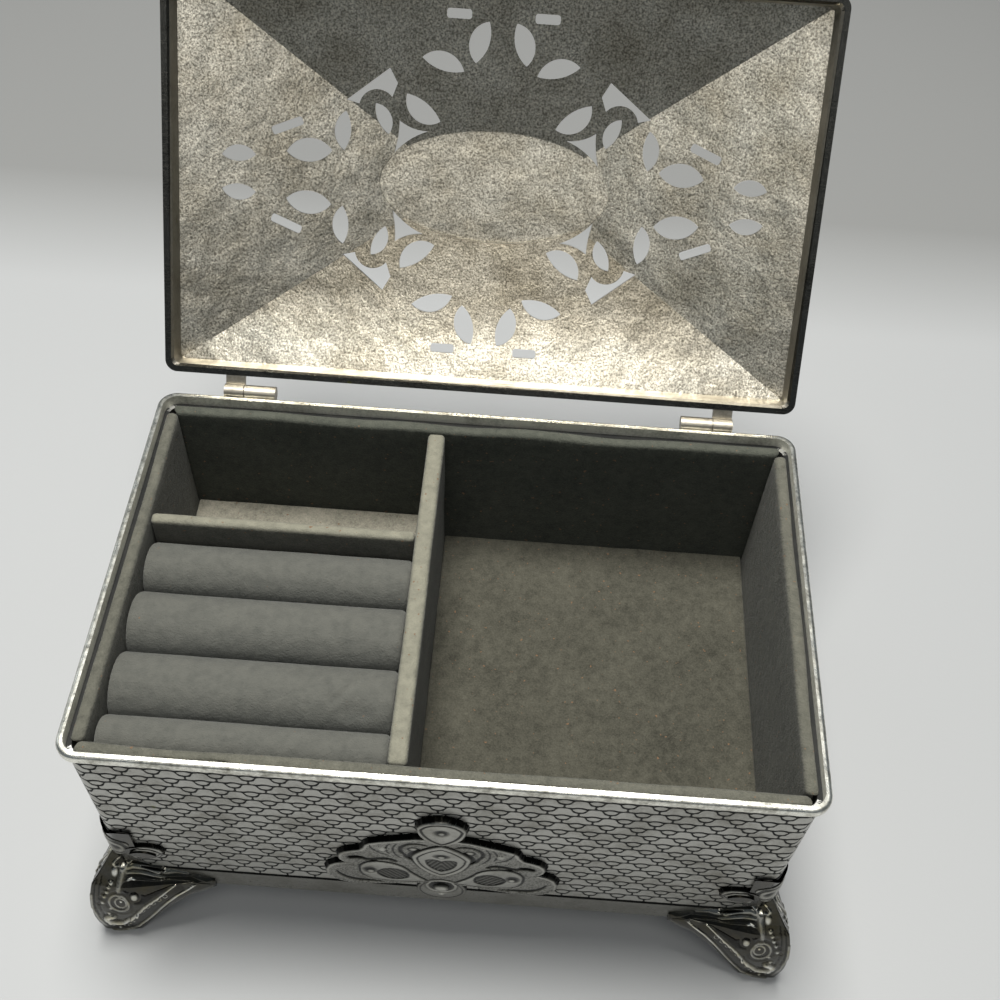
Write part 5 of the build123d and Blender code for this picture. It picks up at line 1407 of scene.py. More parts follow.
class FootCarving(Carving):
    """Drawing on a foot's front wing: right from the case's corner, and up from the floor."""

    def above(self) -> Field:
        """Height above the wing's lower edge."""
        return self.v - self.v[:, -1:]

    def hollows(self) -> None:
        """Paint the shadow behind the volute, and cut the deep ground: the channel and the upper hollow."""
        self.light[:] = 0.36
        # Painted shadow behind the volute.
        shadow = [(1.2, 25.0), (13.5, 25.0), (12.6, 22.6), (9.0, 19.8), (6.4, 16.8), (3.6, 17.6), (2.6, 21.0)]
        self.shade(within(self.inside(shadow), 0.8), 0.12)
        self.shade(np.clip(1.5 - self.above() / (1.3 * MM), 0, 1), 0.6)
        channel = [(-2.6, 3.6), (0.2, 4.2), (3.2, 8.4), (5.3, 11.6), (8.2, 16.0), (11.5, 19.3), (15.0, 22.4)]
        bed = np.clip(1.4 - self.line(channel)[0] / (1.5 * MM), 0, 1)
        self.height -= 0.3 * MM * bed
        self.shade(bed, 0.03)
        hollow = [(1.5, 25.8), (2.6, 27.0), (4.2, 26.9), (8.8, 25.9), (13.5, 25.3), (19.5, 24.2),
                  (13.5, 24.3), (9.8, 22.8), (6.9, 21.4), (5.1, 22.9), (2.4, 24.3)]
        dip = within(self.inside(hollow), 0.7)
        self.height -= 0.7 * MM * np.sqrt(dip)
        self.shade(np.clip(2.5 * dip, 0, 1), 0.02)
        self.shade(stripe(self.line([(4.0, 24.9), (9.5, 24.4)])[0], 0.0, 0.6), 0.3)

    def fronds(self) -> None:
        """Carve the fronds along the top of the wing."""
        for line, half, light in (([(2.6, 30.4), (4.6, 30.4), (7.5, 29.3), (10.6, 27.6)], 0.8, 0.66),
                                  ([(3.2, 29.3), (6.3, 28.5), (9.4, 27.2), (12.0, 26.3)], 0.55, 0.6),
                                  ([(12.0, 27.6), (14.6, 27.2), (17.5, 26.2)], 0.75, 0.62)):
            self.ridge(line, half, 0.35, light, 0.4)
        for line in ([(3.7, 28.5), (6.3, 27.6), (8.8, 26.7), (11.4, 25.9)],
                     [(6.5, 29.8), (9.6, 28.4), (11.9, 27.6)],
                     [(11.5, 26.2), (13.8, 25.8), (18.5, 24.8), (23.4, 22.2)],
                     [(4.4, 31.4), (8.0, 30.0), (12.0, 28.9)]):
            self.groove(line, 0.34, 0.25, 0.5)
        # Painted highlight along the corner ridge, and a painted glint on the knob at its top.
        self.ridge([(2.4, 31.2), (2.0, 29.4), (1.4, 27.1), (0.9, 24.5), (0.8, 22.8)], 0.85, 0.35, 0.64, 0.3)
        self.ball(0.4, 30.2, 0.8, 0.3, 0.9, 1.8)
        self.ridge([(3.4, 27.3), (4.3, 27.5), (4.8, 27.1)], 0.3, 0.2, 0.95)

    def volute(self) -> None:
        """Carve the volute, the knob beside it and the crescent under it."""
        self.ball(0.2, 18.7, 3.5, -0.35, 0.0, 1.7)
        self.ring(0.2, 18.7, 2.35, 0.42, 0.5, 0.72, 1.7)
        self.ring(0.6, 18.9, 1.35, 0.36, 0.45, 0.8, 1.7)
        self.ball(0.7, 19.4, 0.5, 0.4, 0.95, 1.6)
        # Knob in a dark dip, with a painted glint.
        self.ball(4.3, 21.4, 2.1, -0.2, 0.0, 1.7)
        self.ball(4.3, 21.4, 1.1, 0.7, 0.82, 1.7)
        crescent = [*bow((-2.7, 11.4), (-2.4, 6.6), (0.4, 8.4)), (2.0, 10.2), (3.5, 12.2)]
        self.ridge(crescent[::-1], 0.62, 0.6, 1.0, -0.9)
        self.ridge([(3.5, 12.2), (6.0, 15.9), (9.5, 19.3), (12.5, 22.4), (14.6, 24.3)], 0.5, 0.45, 0.95, 0.4)
        rim = [(-4.6, 0.9), (-1.0, 1.2), (1.2, 2.2), (3.2, 4.8), (5.1, 7.0), (7.5, 10.4), (9.6, 13.6),
               (11.8, 16.7), (14.6, 19.8), (18.9, 23.2)]
        self.groove([(0.2, 0.9), (3.4, 3.6), (6.0, 6.6), (8.6, 10.4), (11.4, 14.4)], 0.42, 0.3, 0.7)
        self.ridge(rim, 0.4, 0.35, 0.92)

    def beads(self) -> None:
        """Set the rows of beads and rings, and cut the lines round the corner."""
        for u, v in ((11.5, 19.8), (9.8, 18.4), (8.2, 16.9), (6.6, 15.4), (5.1, 13.5)):
            self.ring(u, v, 0.55, 0.24, 0.25, 0.85, 1.5)
        for u, v in ((3.8, 11.4), (3.1, 9.4), (2.0, 10.4), (2.0, 7.4), (0.6, 5.4), (-0.2, 3.8), (-1.3, 3.6),
                     (-2.6, 2.4), (-4.0, 3.6), (-3.9, 7.6), (-3.9, 10.4), (-3.3, 13.3), (-2.3, 16.0),
                     (-4.8, 5.6)):
            self.ball(u, v, 0.46, 0.35, 0.95, 1.5)
        for u, v in ((-0.6, 27.4), (-1.3, 26.2), (-2.0, 24.2), (-2.9, 22.2), (-3.8, 19.4)):
            self.ball(u - 0.9, v - 0.6, 0.55, -0.25, 0.02, 1.4)
            self.ball(u, v, 0.55, 0.4, 0.85, 1.3)
        for shift in (0.0, 1.2, 2.4):
            self.groove([(-2.6 - shift, 29.6 - 0.5 * shift), (-4.0 - shift, 24.0), (-4.9 - shift, 18.0),
                        (-4.7 - shift, 12.0)], 0.2, 0.15, 0.3)
        self.ring(2.5, 32.4, 2.2, 0.4, 0.3, 0.82, 0.55)
        self.ball(2.5, 32.4, 1.5, -0.25, 0.02, 0.55)
        self.ridge([(-5.9, 3.0), (-6.6, 9.0), (-6.9, 16.0), (-6.0, 23.0)], 0.3, 0.2, 0.75)


@dataclass
class Foot:
    """Splayed corner foot with a volute, a channel and rows of beads."""

    wall: ScaleWall
    band: float = 0.4 * MM
    ridge_reach: float = 10.3 * MM
    reach: float = 7.6 * MM
    tip_reach: float = 0.8 * MM
    top: float = 36.6 * MM
    tip_top: float = 24.0 * MM
    top_bend: float = 1.6
    top_sink: float = 0.6 * MM
    wing: float = 24.0 * MM
    under: float = 20.3 * MM
    sole_end: float = 0.09
    sole_sink: float = 0.5 * MM
    sole_gap: float = 0.02 * MM
    stations: tuple[float, ...] = (0.0, 0.1, 0.2, 0.34, 0.52, 0.74, 1.0)
    columns: tuple[int, ...] = (30, 12, 15, 18, 18, 14)
    rows: int = 116
    lip: float = 0.95 * MM
    lip_height: float = 4.0 * MM
    toe: Spot = (-3.2 * MM, 4.2 * MM)
    skin: float = 0.12 * MM
    deepest: float = 0.9 * MM
    tuck: Spot = (0.03, 0.02)
    tuck_depth: float = 0.15 * MM
    tip_tuck: tuple[float, ...] = (0.7, 0.35, 0.0)

    def section(self, share: float) -> Field:
        """Upright section at a share of the way out along the wing.

        Args:
            share: Share of the way from the corner to the wing's tip.

        Returns:
            Distance out from the case and height, from the top edge to the toe.
        """
        rise = max(0.0, share - self.sole_end) / (1 - self.sole_end)
        low = self.under * math.sin(rise * math.pi / 2) - self.sole_sink * (1 - rise)
        reach = self.ridge_reach if share == 0 else self.reach + (self.tip_reach - self.reach) * share
        top = self.top - (self.top - self.tip_top) * share ** (1 / self.top_bend)
        tall = top - low
        shoulder = (reach * 0.7, low + tall * 0.76)
        upper = bow((-self.top_sink, top), (reach * 0.3, low + tall * 0.88), shoulder, self.rows // 2)
        lower = bow(shoulder, (reach, low + tall * 0.355), (reach * 0.9, low), self.rows // 2)
        return np.array(upper + lower[1:])

    def faces_of_case(self) -> Spot:
        """Places of the band's left and front faces."""
        return -self.wall.half_x - self.band, -self.wall.half_y - self.band

    def front_wing(self) -> Field:
        """Points of the front left foot's front wing, from the corner to its tip.

        Returns:
            Places by column and row.
        """
        x_face, y_face = self.faces_of_case()
        rails = []
        for share in self.stations:
            out, height = self.section(share).T
            if share == 0:
                across, depth = x_face - out / math.sqrt(2), y_face - out / math.sqrt(2)
            else:
                across, depth = np.full_like(out, x_face + self.wing * share), y_face - out
            rails.append(np.stack([across, depth, height], 1))
        lines = [rails[0]]
        for first, second, count in zip(rails, rails[1:], self.columns):
            lines += [first + (second - first) * k / count for k in range(1, count + 1)]
        return np.array(lines)

    def lift(self, art: FootCarving) -> Field:
        """Distance of the skin out from the wing, tucked in at its borders.

        Args:
            art: Finished carving.

        Returns:
            The distance of each point.
        """
        middle, spread = self.toe
        lift = self.skin + np.maximum(art.height, -self.deepest)
        toe = np.exp(-((art.u - middle) / spread) ** 2)
        lift += self.lip * toe * np.clip(1 - art.above() / self.lip_height, 0, 1) ** 1.5
        share = np.linspace(0, 1, lift.shape[1])
        tuck = np.clip(np.minimum(share / self.tuck[0], (1 - share) / self.tuck[1]), 0, 1)
        tuck = tuck[None, :] * np.ones((lift.shape[0], 1))
        tuck[-len(self.tip_tuck):] *= np.array(self.tip_tuck)[:, None]
        return lift * tuck - self.tuck_depth * (1 - tuck)

    def build(self, finish: Material) -> list[Piece]:
        """Lay the carved skin over the four packed feet.

        Args:
            finish: Material of the feet.

        Returns:
            The four pieces.
        """
        x_face, y_face = self.faces_of_case()
        wing = self.front_wing()
        across, depth, height = np.moveaxis(wing, -1, 0)
        art = FootCarving(across - x_face, height)
        art.hollows()
        art.fronds()
        art.volute()
        art.beads()
        lift = self.lift(art)
        mirrored = np.stack([x_face + depth - y_face, y_face + across - x_face, height], -1)
        both, lift, light = (np.concatenate([turned[:0:-1], straight]) for turned, straight in (
            (mirrored, wing), (lift, lift), (art.light, art.light)))
        normal = np.cross(np.gradient(both, axis=1), np.gradient(both, axis=0))
        normal /= np.maximum(np.linalg.norm(normal, axis=-1, keepdims=True), 1e-12)
        wide, tall = both.shape[:2]
        normal *= -1 if normal[wide // 2, tall // 2] @ np.array([-1, -1, 0]) < 0 else 1
        skin = both + normal * lift[..., None]
        skin[..., 2] = np.maximum(skin[..., 2], self.sole_gap)
        faces = grid_faces(wide, tall)
        pieces = []
        for x_word, x_side in (("left", 1), ("right", -1)):
            for y_word, y_side in (("front", 1), ("back", -1)):
                name = "carved_foot_" + y_word + "_" + x_word
                points = [(x * x_side, y * y_side, z) for x, y, z in skin.reshape(-1, 3).tolist()]
                order = faces if x_side * y_side > 0 else [face[::-1] for face in faces]
                shape = shape_of(points, order)
                pieces.append(add_piece(name, shape, finish, Slot.DARK_FOOT, light.ravel().tolist()))
        return pieces


@dataclass
class CornerLeaves:
    """Pointed collar and two eye shaped leaves above each foot.

    The drawings, and each field without MM, are in millimetres: across from
    the corner of the case and upwards from the floor.
    """

    wall: ScaleWall
    collar_out: float = 1.3 * MM
    petal_out: float = 1.25 * MM
    petal_shadow: float = 0.45 * MM
    petal_shadow_from: float = 37.0
    rounding: float = 0.45

    def collar(self, name: str, along: float, finish: Material) -> Piece:
        """Carve one collar round a corner of the case.

        Args:
            name: Name of the piece.
            along: Place of the corner round the case.
            finish: Material of the collar.

        Returns:
            The piece.
        """
        tool = WallRelief(self.wall)
        grid = tool.grid((-6.5, 33), (6.5, 51.5))
        art = Carving(np.abs(grid.u), grid.v)
        edge = art.inside([(-3, 46.6), (0, 46.6), (2.4, 46.0), (4.6, 44.6), (5.1, 43.4), (4.4, 41.0),
                           (3.0, 38.4), (1.0, 36.0), (0, 35.4), (-3, 35.4)])
        # Painted shadow above the collar: a black sheet out to this outline.
        shadow = art.inside([(-3, 50.2), (0, 50.2), (1.5, 49.0), (3.2, 47.0), (5.4, 44.9), (5.4, 43.0),
                             (3.4, 37.8), (0, 34.8), (-3, 34.8)])
        flat, rise = tool.snap(grid, edge)
        art.u = np.abs(grid.u)
        art.height += self.collar_out
        # Painted highlight along the rounded edge, just inside the outline.
        art.shade(stripe(edge, 0.55, 0.4), 0.95)
        art.ball(1.5, 41.6, 1.2, -0.3, 0.0, 1.3)
        art.ring(1.4, 41.6, 1.7, 0.3, 0.15, 0.72, 1.25)
        art.ring(1.4, 41.6, 2.5, 0.4, -0.15, 0.0, 1.25)
        art.groove(bow((0.2, 45.2), (3.4, 44.6), (3.9, 41.0)), 0.34, 0.12)
        tool.finish_off(grid, art, flat, rise, self.rounding)
        return tool.piece(name, grid, np.minimum(edge, shadow), along, finish, Slot.DARK_FOOT)

    def petal(self, name: str, along: float, side: int, finish: Material) -> Piece:
        """Carve one leaf beside a corner.

        Args:
            name: Name of the piece.
            along: Place of the corner round the case.
            side: Which side of the corner, as a sign.
            finish: Material of the leaf.

        Returns:
            The piece.
        """
        tool = WallRelief(self.wall)
        low, high = sorted((side * 3.8, side * 14.4))
        grid = tool.grid((low, 33.5), (high, 45.5))
        art = Carving(side * grid.u, grid.v)
        edge = art.inside([(5.0, 41.2), (6.2, 42.4), (8.2, 42.9), (10.6, 42.8), (12.1, 42.0), (12.8, 40.2),
                           (11.8, 37.8), (9.4, 36.0), (6.8, 35.5), (4.6, 35.9), (4.3, 38.4)])
        flat, rise = tool.snap(grid, edge)
        art.u = side * grid.u
        art.height += self.petal_out
        # Painted highlight along the rounded edge, just inside the outline.
        art.shade(stripe(edge, 0.5, 0.35), 0.9)
        rim = [(4.7, 40.0), (6.4, 41.8), (9.8, 41.8), (12.1, 39.9), (9.6, 36.7), (6.0, 36.2)]
        art.groove(rim, 0.36, 0.14)
        rib = [(5.0, 38.9), (6.7, 41.1), (9.6, 41.1), (11.4, 39.7), (9.2, 37.2), (6.2, 36.8), (5.0, 38.9)]
        art.ridge(rib, 0.26, 0.12, 0.95)
        almond = art.inside([(5.5, 38.9), (7.0, 40.6), (9.3, 40.6), (10.4, 39.5), (9.0, 37.7), (6.6, 37.4)])
        art.height -= 0.15 * MM * within(almond, 0.2)
        art.hatch(almond, 0.95, 0.6 * side, 0.08)
        tool.finish_off(grid, art, flat, rise, self.rounding)
        # Painted shadow above the leaf's upper edge.
        reach = self.petal_shadow * (art.v > self.petal_shadow_from * MM)
        return tool.piece(name, grid, edge - reach, along, finish, Slot.DARK_FOOT)

    def build(self, finish: Material) -> list[Piece]:
        """Carve the collars and leaves of the four corners.

        Args:
            finish: Material of the leaves.

        Returns:
            The pieces.
        """
        pieces = []
        for number, along in enumerate(self.wall.corners):
            pieces.append(self.collar("corner_collar_" + str(number + 1), along, finish))
            for word, side in (("a", -1), ("b", 1)):
                pieces.append(self.petal("corner_leaf_" + str(number + 1) + word, along, side, finish))
        return pieces


# Lid


@dataclass
class Lid:
    """Open lid, dressed by which way its faces look when it is shut."""

    bead: float = 1.7 * MM
    skirt: float = 1.9 * MM
    down: float = -0.5
    outward: float = 0.15
    towards_hinge: float = -0.1

    def __post_init__(self) -> None:
        """Read the hinge that turns the lid open."""
        hinge = next(j for j in frame["record"]["behaviour"]["joints"] if j["name"] == "lid_hinge")
        self.pivot = Vector(hinge["pos_m"])
        self.shut = Matrix.Rotation(math.radians(hinge["range_deg"][1]), 3, "X")

    def dress(self, outside: Material, inside: Material, edge: Material, cast: Material,
              cast_low: Material) -> None:
        """Give the frame and the panel their finishes.

        Args:
            outside: Near black finish of the frame's outer faces, painted shade.
            inside: Finish of the frame's inner faces and the panel's outer ones.
            edge: Dark finish of the lower edge's faces that look down when shut, painted shade.
            cast: Coarse finish inside the panel.
            cast_low: Coarse finish of the slope next to the hinges, with painted shade that darkens it
                towards the boss.
        """
        flat = [self.shut @ (Vector(v.co) - self.pivot) for v in NODES["lid_frame"].data.vertices]
        low, high = (Vector([pick(p[k] for p in flat) for k in range(3)]) for pick in (min, max))

        def frame_finish(middle: Vector, normal: Vector) -> int:
            """Finish of a face of the frame.

            Args:
                middle: Middle of the face.
                normal: Direction that it looks in.

            Returns:
                Number of the finish.
            """
            spot = self.shut @ (middle - self.pivot)
            if all(low[k] + self.skirt < spot[k] < high[k] - self.skirt for k in range(2)):
                return 1
            # Faces along the lower edge that look down get the dark edge finish: painted shade.
            return 2 if spot.z - low.z < self.bead and (self.shut @ normal).z < self.down else 0

        def panel_finish(_: Vector, normal: Vector) -> int:
            """Finish of a face of the panel.

            Args:
                _: Middle of the face; not used.
                normal: Direction that it looks in.

            Returns:
                Number of the finish.
            """
            shut = self.shut @ normal
            if shut.z > self.outward:
                return 1
            # The slope next to the hinges gets the copy with painted shade.
            return 2 if shut.y < self.towards_hinge and abs(shut.x) < abs(shut.y) else 0

        dress_by_place("lid_frame", [outside, inside, edge], frame_finish)
        dress_by_place("lid_panel", [cast, inside, cast_low], panel_finish)


# Lining


@dataclass
class Lining:
    """Velvet over card boards, dividers and floors."""

    edge: float = 1.12 * MM
    step: float = 3.0 * MM
    swell: float = 0.14 * MM
    board_swell: float = 14 * MM
    wave_size: float = 22 * MM
    wave_rise: int = 6
    cover: float = 0.5 * MM
    floor_step: float = 2.5 * MM
    floor_swell: float = 9 * MM
    lap: float = 0.75 * MM
    lap_from: float = 88.1 * MM
    lap_length: float = 0.012
    mouth: Spot = (80.6 * MM, 50.1 * MM)
    mouth_bend: float = 3.0 * MM
    crest: float = 1.1 * MM
    lap_top_light: float = 0.2
    board_top_light: float = 0.75

    def board(self, node: str, finish: Material, wave: float, seed: float, lap: bool) -> Piece:
        """Cloth covered board in place of a packed one, its top edge a little wavy.

        Args:
            node: Node that it stands for.
            finish: Velvet of the board.
            wave: Height of the waves along its top.
            seed: Offset of the waves.
            lap: Whether the cloth's fold reaches out to the rim above the wall.

        Returns:
            The piece.
        """
        low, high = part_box(node)
        lined = high.x - low.x > high.y - low.y
        wear = self.lap_top_light if lap else self.board_top_light
        points, faces = soft_block(low, high, self.edge, self.step)
        waved, light = [], []
        for x, y, z in uneven(points, self.board_swell, self.swell, seed):
            share = max(0.0, (z - low.z) / (high.z - low.z)) ** self.wave_rise
            # Painted light: paler along the top edge, less where the cloth laps out to the rim.
            light.append(min(1.0, max(0.0, 1 - (high.z - z) / self.crest)) * wear)
            ripple = noise.noise(Vector((x, y, 0.0)) / self.wave_size + Vector((seed, 0.0, 0.0)))
            z += (ripple - 0.5) * wave * share
            if lap and z > self.lap_from:
                x, y = self.out_to_rim(x, y, low, high, lined)
            waved.append((x, y, z))
        piece = add_piece(node + "_velvet", shape_of(waved, faces), finish, Slot.VELVET_BOARD, light)
        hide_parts(node)
        return piece

    def out_to_rim(self, x: float, y: float, low: Vector, high: Vector, lined: bool) -> Spot:
        """Place of a point of a board's top, folded out towards the rim.

        Args:
            x: Place across before.
            y: Place in depth before.
            low: Lowest corner of the board.
            high: Highest corner of the board.
            lined: Whether the board runs along X.

        Returns:
            The place across and in depth.
        """
        value, inner, outer = (y, low.y, high.y) if lined else (x, low.x, high.x)
        outward = math.copysign(1.0, inner + outer)
        reach = max(0.0, (value - inner if outward > 0 else outer - value) / (outer - inner))
        push = outward * self.lap * reach ** 2
        longer = 1 + self.lap_length * reach
        x, y = (x * longer, y + push) if lined else (x + push, y * longer)
        over_x, over_y = (abs(v) - m + self.mouth_bend for v, m in zip((x, y), self.mouth))
        over = math.hypot(over_x, over_y)
        if min(over_x, over_y) > 0 and over > self.mouth_bend:
            pull = self.mouth_bend / over
            x = math.copysign(self.mouth[0] - self.mouth_bend + over_x * pull, x)
            y = math.copysign(self.mouth[1] - self.mouth_bend + over_y * pull, y)
        return x, y

    def floor(self, node: str, finish: Material, seed: float) -> Piece:
        """Velvet laid over a card floor.

        Args:
            node: Floor that carries it.
            finish: Velvet of the floor.
            seed: Offset of its unevenness.

        Returns:
            The piece.
        """
        low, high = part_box(node)
        base = Vector((low.x, low.y, high.z - self.cover))
        top = Vector((high.x, high.y, high.z + self.cover))
        points, faces = soft_block(base, top, self.cover, self.floor_step)
        points = uneven(points, self.floor_swell, self.swell, seed)
        dress(node, finish)
        return add_piece(node + "_velvet", shape_of(points, faces), finish, Slot.VELVET_BOARD)

    def build(self, made: dict[Look, Material]) -> list[Piece]:
        """Line the case.

        Args:
            made: Materials of the box.

        Returns:
            The boards, dividers and floors.
        """
        boards = (("lining_front", Look.WALL_CLOTH, 0.9, True), ("lining_back", Look.SHADED_BACK_CLOTH, 0.8, True),
                  ("lining_left", Look.WALL_CLOTH, 0.3, True), ("lining_right", Look.WALL_CLOTH, 0.3, True),
                  ("centre_divider", Look.WALL_CLOTH, 0.3, False),
                  ("cross_divider", Look.WALL_CLOTH, 0.3, False))
        floors = (("right_floor", Look.FLOOR_CLOTH), ("left_floor", Look.LIT_BACK_FLOOR_CLOTH),
                  ("ring_bed", Look.FLOOR_CLOTH))
        pieces = []
        for number, (node, look, wave, lap) in enumerate(boards):
            pieces.append(self.board(node, made[look], wave * MM, 3.0 + number, lap))
        for number, (node, look) in enumerate(floors):
            pieces.append(self.floor(node, made[look], 20.0 + number))
        return pieces


@dataclass(frozen=True)
class Fold:
    """Fold across a roll, in millimetres from its right end and from its middle.

    It runs through the place along at an offset of pivot, and leans as it
    goes across. Its depth fades away from middle over reach.
    """

    along: float
    lean: float
    pivot: float
    width: float
    depth: float
    middle: float
    reach: float

    def pressed(self, from_right: float, across: float) -> float:
        """Depth in metres to which it presses the cloth in at a place."""
        beside = (from_right - self.along - self.lean * (across - self.pivot)) / self.width
        return self.depth * MM * math.exp(-beside ** 2 - ((across - self.middle) / self.reach) ** 2)


@dataclass(frozen=True)
class Dent:
    """Round dent in a roll, in millimetres from its right end and from its middle."""

    along: float
    across: float
    size: float
    depth: float
    squeeze: float = 1.3

    def pressed(self, from_right: float, across: float) -> float:
        """Depth in metres to which it presses the cloth in at a place."""
        away = math.hypot(from_right - self.along, (across - self.across) * self.squeeze)
        return self.depth * MM * math.exp(-(away / self.size) ** 2)


ROLL_MARKS = {1: (Fold(45.0, 0.4, 0.0, 1.0, 0.45, -1.0, 4.5),),
              3: (Dent(10.0, -5.0, 2.6, 1.1), Dent(6.5, -5.6, 2.2, 0.7), Dent(13.5, -2.4, 1.6, 0.5),
                  Fold(13.6, -0.75, -4.0, 0.9, 0.5, 0.5, 4.0))}


@dataclass
class RingRolls:
    """Velvet covered foam rolls that rings are pushed between."""

    count: int = 4
    along: int = 120
    sides: int = 10
    crown: int = 36
    crown_rise: float = 5.8 * MM
    shoulder_from: float = 0.86
    shoulder_drop: float = 30 * MM
    draw_in: float = 0.9 * MM
    end_run: float = 1.5 * MM
    end_columns: int = 8
    end_size: float = 0.86
    pucker: float = 0.14 * MM
    lump_size: float = 12 * MM
    dark_to: float = 0.5
    pale_from: float = 0.97
    crest_lift: tuple[float, ...] = (-1.0 * MM, 0.0, 0.45 * MM, -0.2 * MM)

    def section(self, half: float, height: float) -> Chain:
        """Section of a roll: drawn in sides and a round crown.

        Args:
            half: Half width at the shoulders.
            height: Height of the crest.

        Returns:
            Offset across and height, from the front foot over the top to the back foot.
        """
        shoulder = height - self.crown_rise
        side = [(-half + self.draw_in * (1 - k / self.sides), shoulder * k / self.sides)
                for k in range(self.sides)]
        crown = [(u, v - self.shoulder_drop * max(0.0, abs(u) / half - self.shoulder_from) ** 2)
                 for u, v in bow((-half, shoulder), (0.0, height), (half, shoulder), self.crown)]
        return side + crown + [(-u, v) for u, v in reversed(side)]

    def places(self, low: float, high: float) -> list[float]:
        """Places of the sections along a roll, closer at its ends.

        Args:
            low: Left end.
            high: Right end.

        Returns:
            The places.
        """
        step = math.pi / (2 * self.end_columns)
        ends = [self.end_run * (1 - math.cos(k * step)) for k in range(self.end_columns)]
        inner = np.linspace(low + self.end_run, high - self.end_run, self.along)
        return [low + e for e in ends] + list(inner) + [high - e for e in reversed(ends)]

    def build(self, index: int, finish: Material) -> Piece:
        """One roll in place of its packed form.

        Args:
            index: Number of the roll, counted from the back.
            finish: Velvet of the roll.

        Returns:
            The piece.
        """
        node = "ring_roll_" + str(index)
        low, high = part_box(node)
        middle = (low.y + high.y) / 2
        height = high.z - low.z + self.crest_lift[index - 1]
        outline = self.section((high.y - low.y) / 2, height)
        places = self.places(low.x, high.x)
        points: Points = []
        light: list[float] = []
        for x in places:
            ends = min(1.0, min(x - low.x, high.x - x) / self.end_run)
            drawn = self.end_size + (1 - self.end_size) * math.sqrt(max(0.0, 1 - (1 - ends) ** 2))
            for y, z in outline:
                lump = noise.noise(Vector((x, y * 1.5, z + index)) / self.lump_size) * self.pucker * 2.2
                lift = max(0.0, z / height)
                dent = sum(mark.pressed((high.x - x) / MM, y / MM) for mark in ROLL_MARKS.get(index, ()))
                z = z - (z - height * 0.5) * (1 - drawn) + (lump - dent) * lift
                points.append((x, middle + y * drawn * (1 - 0.01 * lump / MM), low.z + max(0.0, z)))
                # Painted light: paler towards the top of the roll, darker down its sides.
                worn = (z / height - self.dark_to) / (self.pale_from - self.dark_to)
                light.append(min(1.0, max(0.0, worn)))
        faces = grid_faces(len(places), len(outline), closed=True, capped=True)
        piece = add_piece("velvet_" + node, shape_of(points, faces), finish, Slot.VELVET_ROLL, light)
        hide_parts(node)
        return piece


# Studio


@dataclass(frozen=True)
class Lamp:
    """Round soft lamp."""

    name: str
    place: Place
    aim: Place
    size: float
    power: float
    tint: Colour

    def hang(self) -> None:
        """Hang the lamp, turned towards its aim."""
        data = bpy.data.lights.new(self.name, "AREA")
        data.shape = "DISK"
        data.size = self.size
        data.energy = self.power
        data.color = self.tint
        lamp = bpy.data.objects.new(self.name, data)
        lamp.location = self.place
        lamp.rotation_euler = (Vector(self.aim) - Vector(self.place)).to_track_quat("-Z", "Y").to_euler()
        bpy.context.scene.collection.objects.link(lamp)


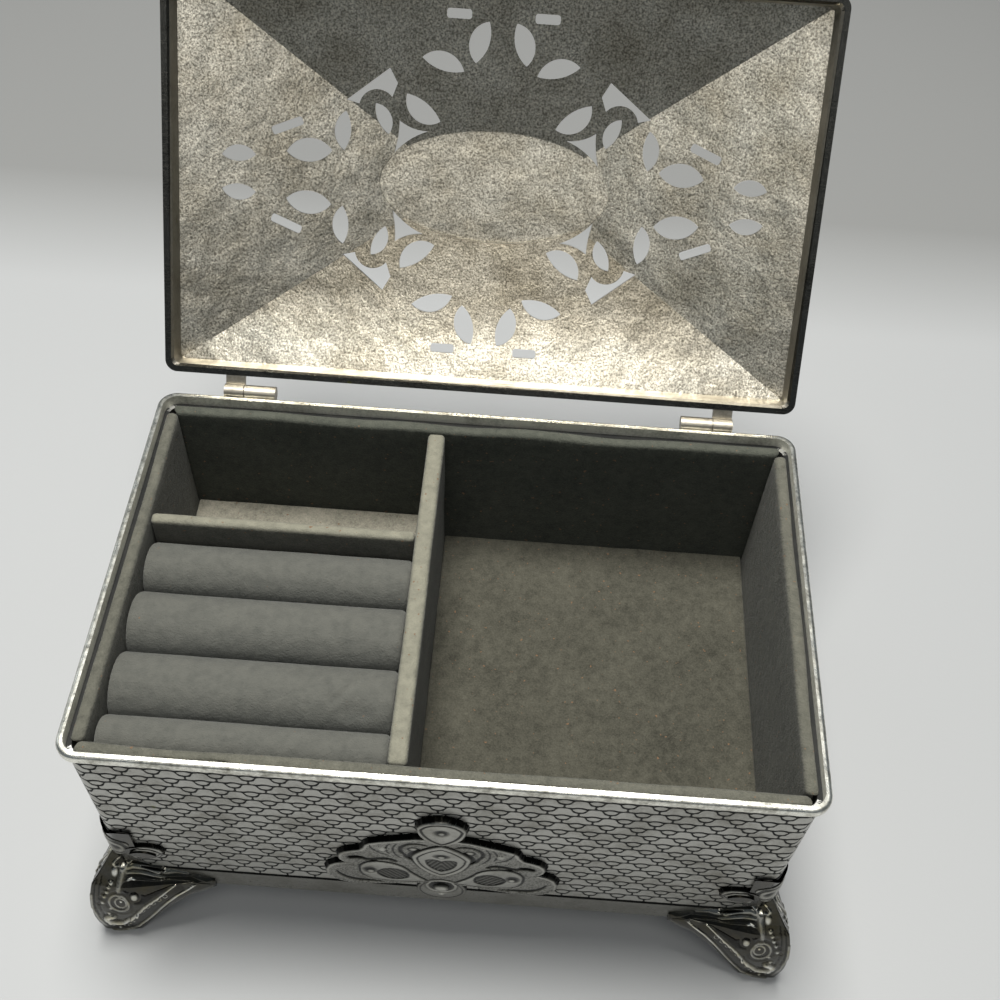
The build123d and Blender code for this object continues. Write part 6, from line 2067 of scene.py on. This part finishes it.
@dataclass
class Studio:
    """Pale table, soft light and the camera at the photograph's place."""

    lens: float = 45.0
    sensor: float = 36.0
    place: Place = (9.676 * MM, -162.789 * MM, 334.702 * MM)
    pitch: float = 52.52
    roll: float = 3.60
    yaw: float = 0.65
    table_half: float = 3.0
    sweep: Spot = (0.185, 0.25)
    room_light: Colour = (0.118, 0.136, 0.152)
    backdrop: Colour = (0.72, 0.73, 0.74)
    lamps: tuple[Lamp, ...] = (
        Lamp("overhead", (-0.05, 0.12, 1.1), (0.0, 0.02, 0.05), 0.4, 17.5, (1.0, 0.99, 0.96)),
        Lamp("high_front", (0.05, -0.6, 1.7), (0.0, 0.0, 0.05), 0.5, 4.5, (1.0, 0.98, 0.94)),
        Lamp("low_front", (-0.04, -0.85, 0.9), (0.0, 0.05, 0.1), 0.5, 1.3, (1.0, 0.98, 0.94)),
        Lamp("window", (-1.2, 0.5, 0.7), (0.0, 0.0, 0.05), 0.8, 1.5, (0.93, 0.97, 1.0)))

    def camera(self) -> None:
        """Put the camera where the photograph was taken from."""
        p, r, w = (math.radians(a) for a in (self.pitch, self.roll, self.yaw))
        tilt = Matrix(((1, 0, 0), (0, -math.sin(p), -math.cos(p)), (0, math.cos(p), -math.sin(p))))
        bank = Matrix(((math.cos(r), -math.sin(r), 0), (math.sin(r), math.cos(r), 0), (0, 0, 1)))
        turn = Matrix(((math.cos(w), math.sin(w), 0), (-math.sin(w), math.cos(w), 0), (0, 0, 1)))
        right, down, ahead = bank @ tilt @ turn
        axes = Matrix((right, -down, -ahead)).transposed()
        data = bpy.data.cameras.new("camera")
        data.lens = self.lens
        data.sensor_width = self.sensor
        data.clip_start = 0.01
        eye = bpy.data.objects.new("camera", data)
        eye.matrix_world = Matrix.Translation(self.place) @ axes.to_4x4()
        bpy.context.scene.collection.objects.link(eye)
        bpy.context.scene.camera = eye

    def table(self) -> None:
        """Lay the pale table top that keeps the box's shadow."""
        sheet = NodeSheet("pale_table")
        clouds = sheet.noise(0.35, 1.0, 0.4)
        pale = sheet.ramp(clouds, [(0.3, (0.375, 0.38, 0.38)), (0.7, (0.4, 0.405, 0.405))])
        # Darker towards the back of the table, from sweep[0] to sweep[1] along Y.
        far = sheet.ramp(sheet.along("Y"), [(self.sweep[0], WHITE), (self.sweep[1], (0.6, 0.595, 0.58))])
        sheet.set(base_color=sheet.multiply(pale, far), roughness=0.55, specular_ior_level=0.25)
        sheet.bump((sheet.noise(1.5 * MM), 0.02 * MM))
        h = self.table_half
        mesh = bpy.data.meshes.new("table")
        mesh.from_pydata([(-h, -h, 0), (h, -h, 0), (h, h, 0), (-h, h, 0)], [], [(0, 1, 2, 3)])
        mesh.materials.append(sheet.material)
        top = bpy.data.objects.new("table", mesh)
        bpy.context.scene.collection.objects.link(top)

    def world(self) -> None:
        """Set the even light of the room, and the backdrop that the camera sees."""
        world = bpy.data.worlds.new("room")
        bpy.context.scene.world = world
        world.use_nodes = True
        tree = world.node_tree
        path = tree.nodes.new("ShaderNodeLightPath")
        mix = tree.nodes.new("ShaderNodeMix")
        mix.data_type = "RGBA"
        mix.inputs[6].default_value = (*self.room_light, 1.0)
        mix.inputs[7].default_value = (*self.backdrop, 1.0)
        tree.links.new(path.outputs["Is Camera Ray"], mix.inputs[0])
        tree.links.new(mix.outputs[2], tree.nodes["Background"].inputs["Color"])

    def build(self) -> None:
        """Set up the table, the lamps, the room and the camera."""
        self.table()
        self.world()
        for lamp in self.lamps:
            lamp.hang()
        self.camera()
        bpy.context.scene.view_settings.view_transform = "Standard"


def look_of(node: str, slot: Slot) -> Look:
    """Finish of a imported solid.

    Args:
        node: Name of its node.
        slot: Material slot that the record gives it.

    Returns:
        The finish.
    """
    if "foot" in node:
        return Look.FOOT_SHADOW
    return Look.LID_SKIRT if "hinge" in node else SLOT_LOOKS[slot]


def main() -> None:
    """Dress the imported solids, build every other piece, light them, and report each."""
    logging.basicConfig(level=logging.INFO, format="%(message)s")
    made = {look: look.value.material() for look in Look}
    for row in frame["record"]["subparts"]:
        look = look_of(row["node"], Slot(row["material_slot"]))
        dress(row["node"], made[look])
        log.info("%s: dressed in %s", row["node"], look.value.name)
    Case().dress([made[look] for look in (Look.RIM, Look.GROUND, Look.STEEL, Look.BAND, Look.MOUTH)])
    Lid().dress(*(made[look] for look in (Look.LID_OUTSIDE_SHADED, Look.LID_SKIRT, Look.LID_EDGE_SHADED, Look.CAST,
                                          Look.CAST_LOW_SHADED)))
    wall = ScaleWall()
    rolls = RingRolls()
    pieces = [wall.build(made[Look.PLATES]), Cartouche(wall).build(made[Look.ORNAMENT]),
              *Foot(wall).build(made[Look.FOOT]), *CornerLeaves(wall).build(made[Look.ORNAMENT]),
              *Lining().build(made)]
    pieces += [rolls.build(index, made[Look.ROLL_CLOTH]) for index in range(1, rolls.count + 1)]
    for piece in pieces:
        log.info("%s: built with %d faces", piece.name, len(piece.data.polygons))
    Studio().build()


if __name__ == "__main__":
    main()
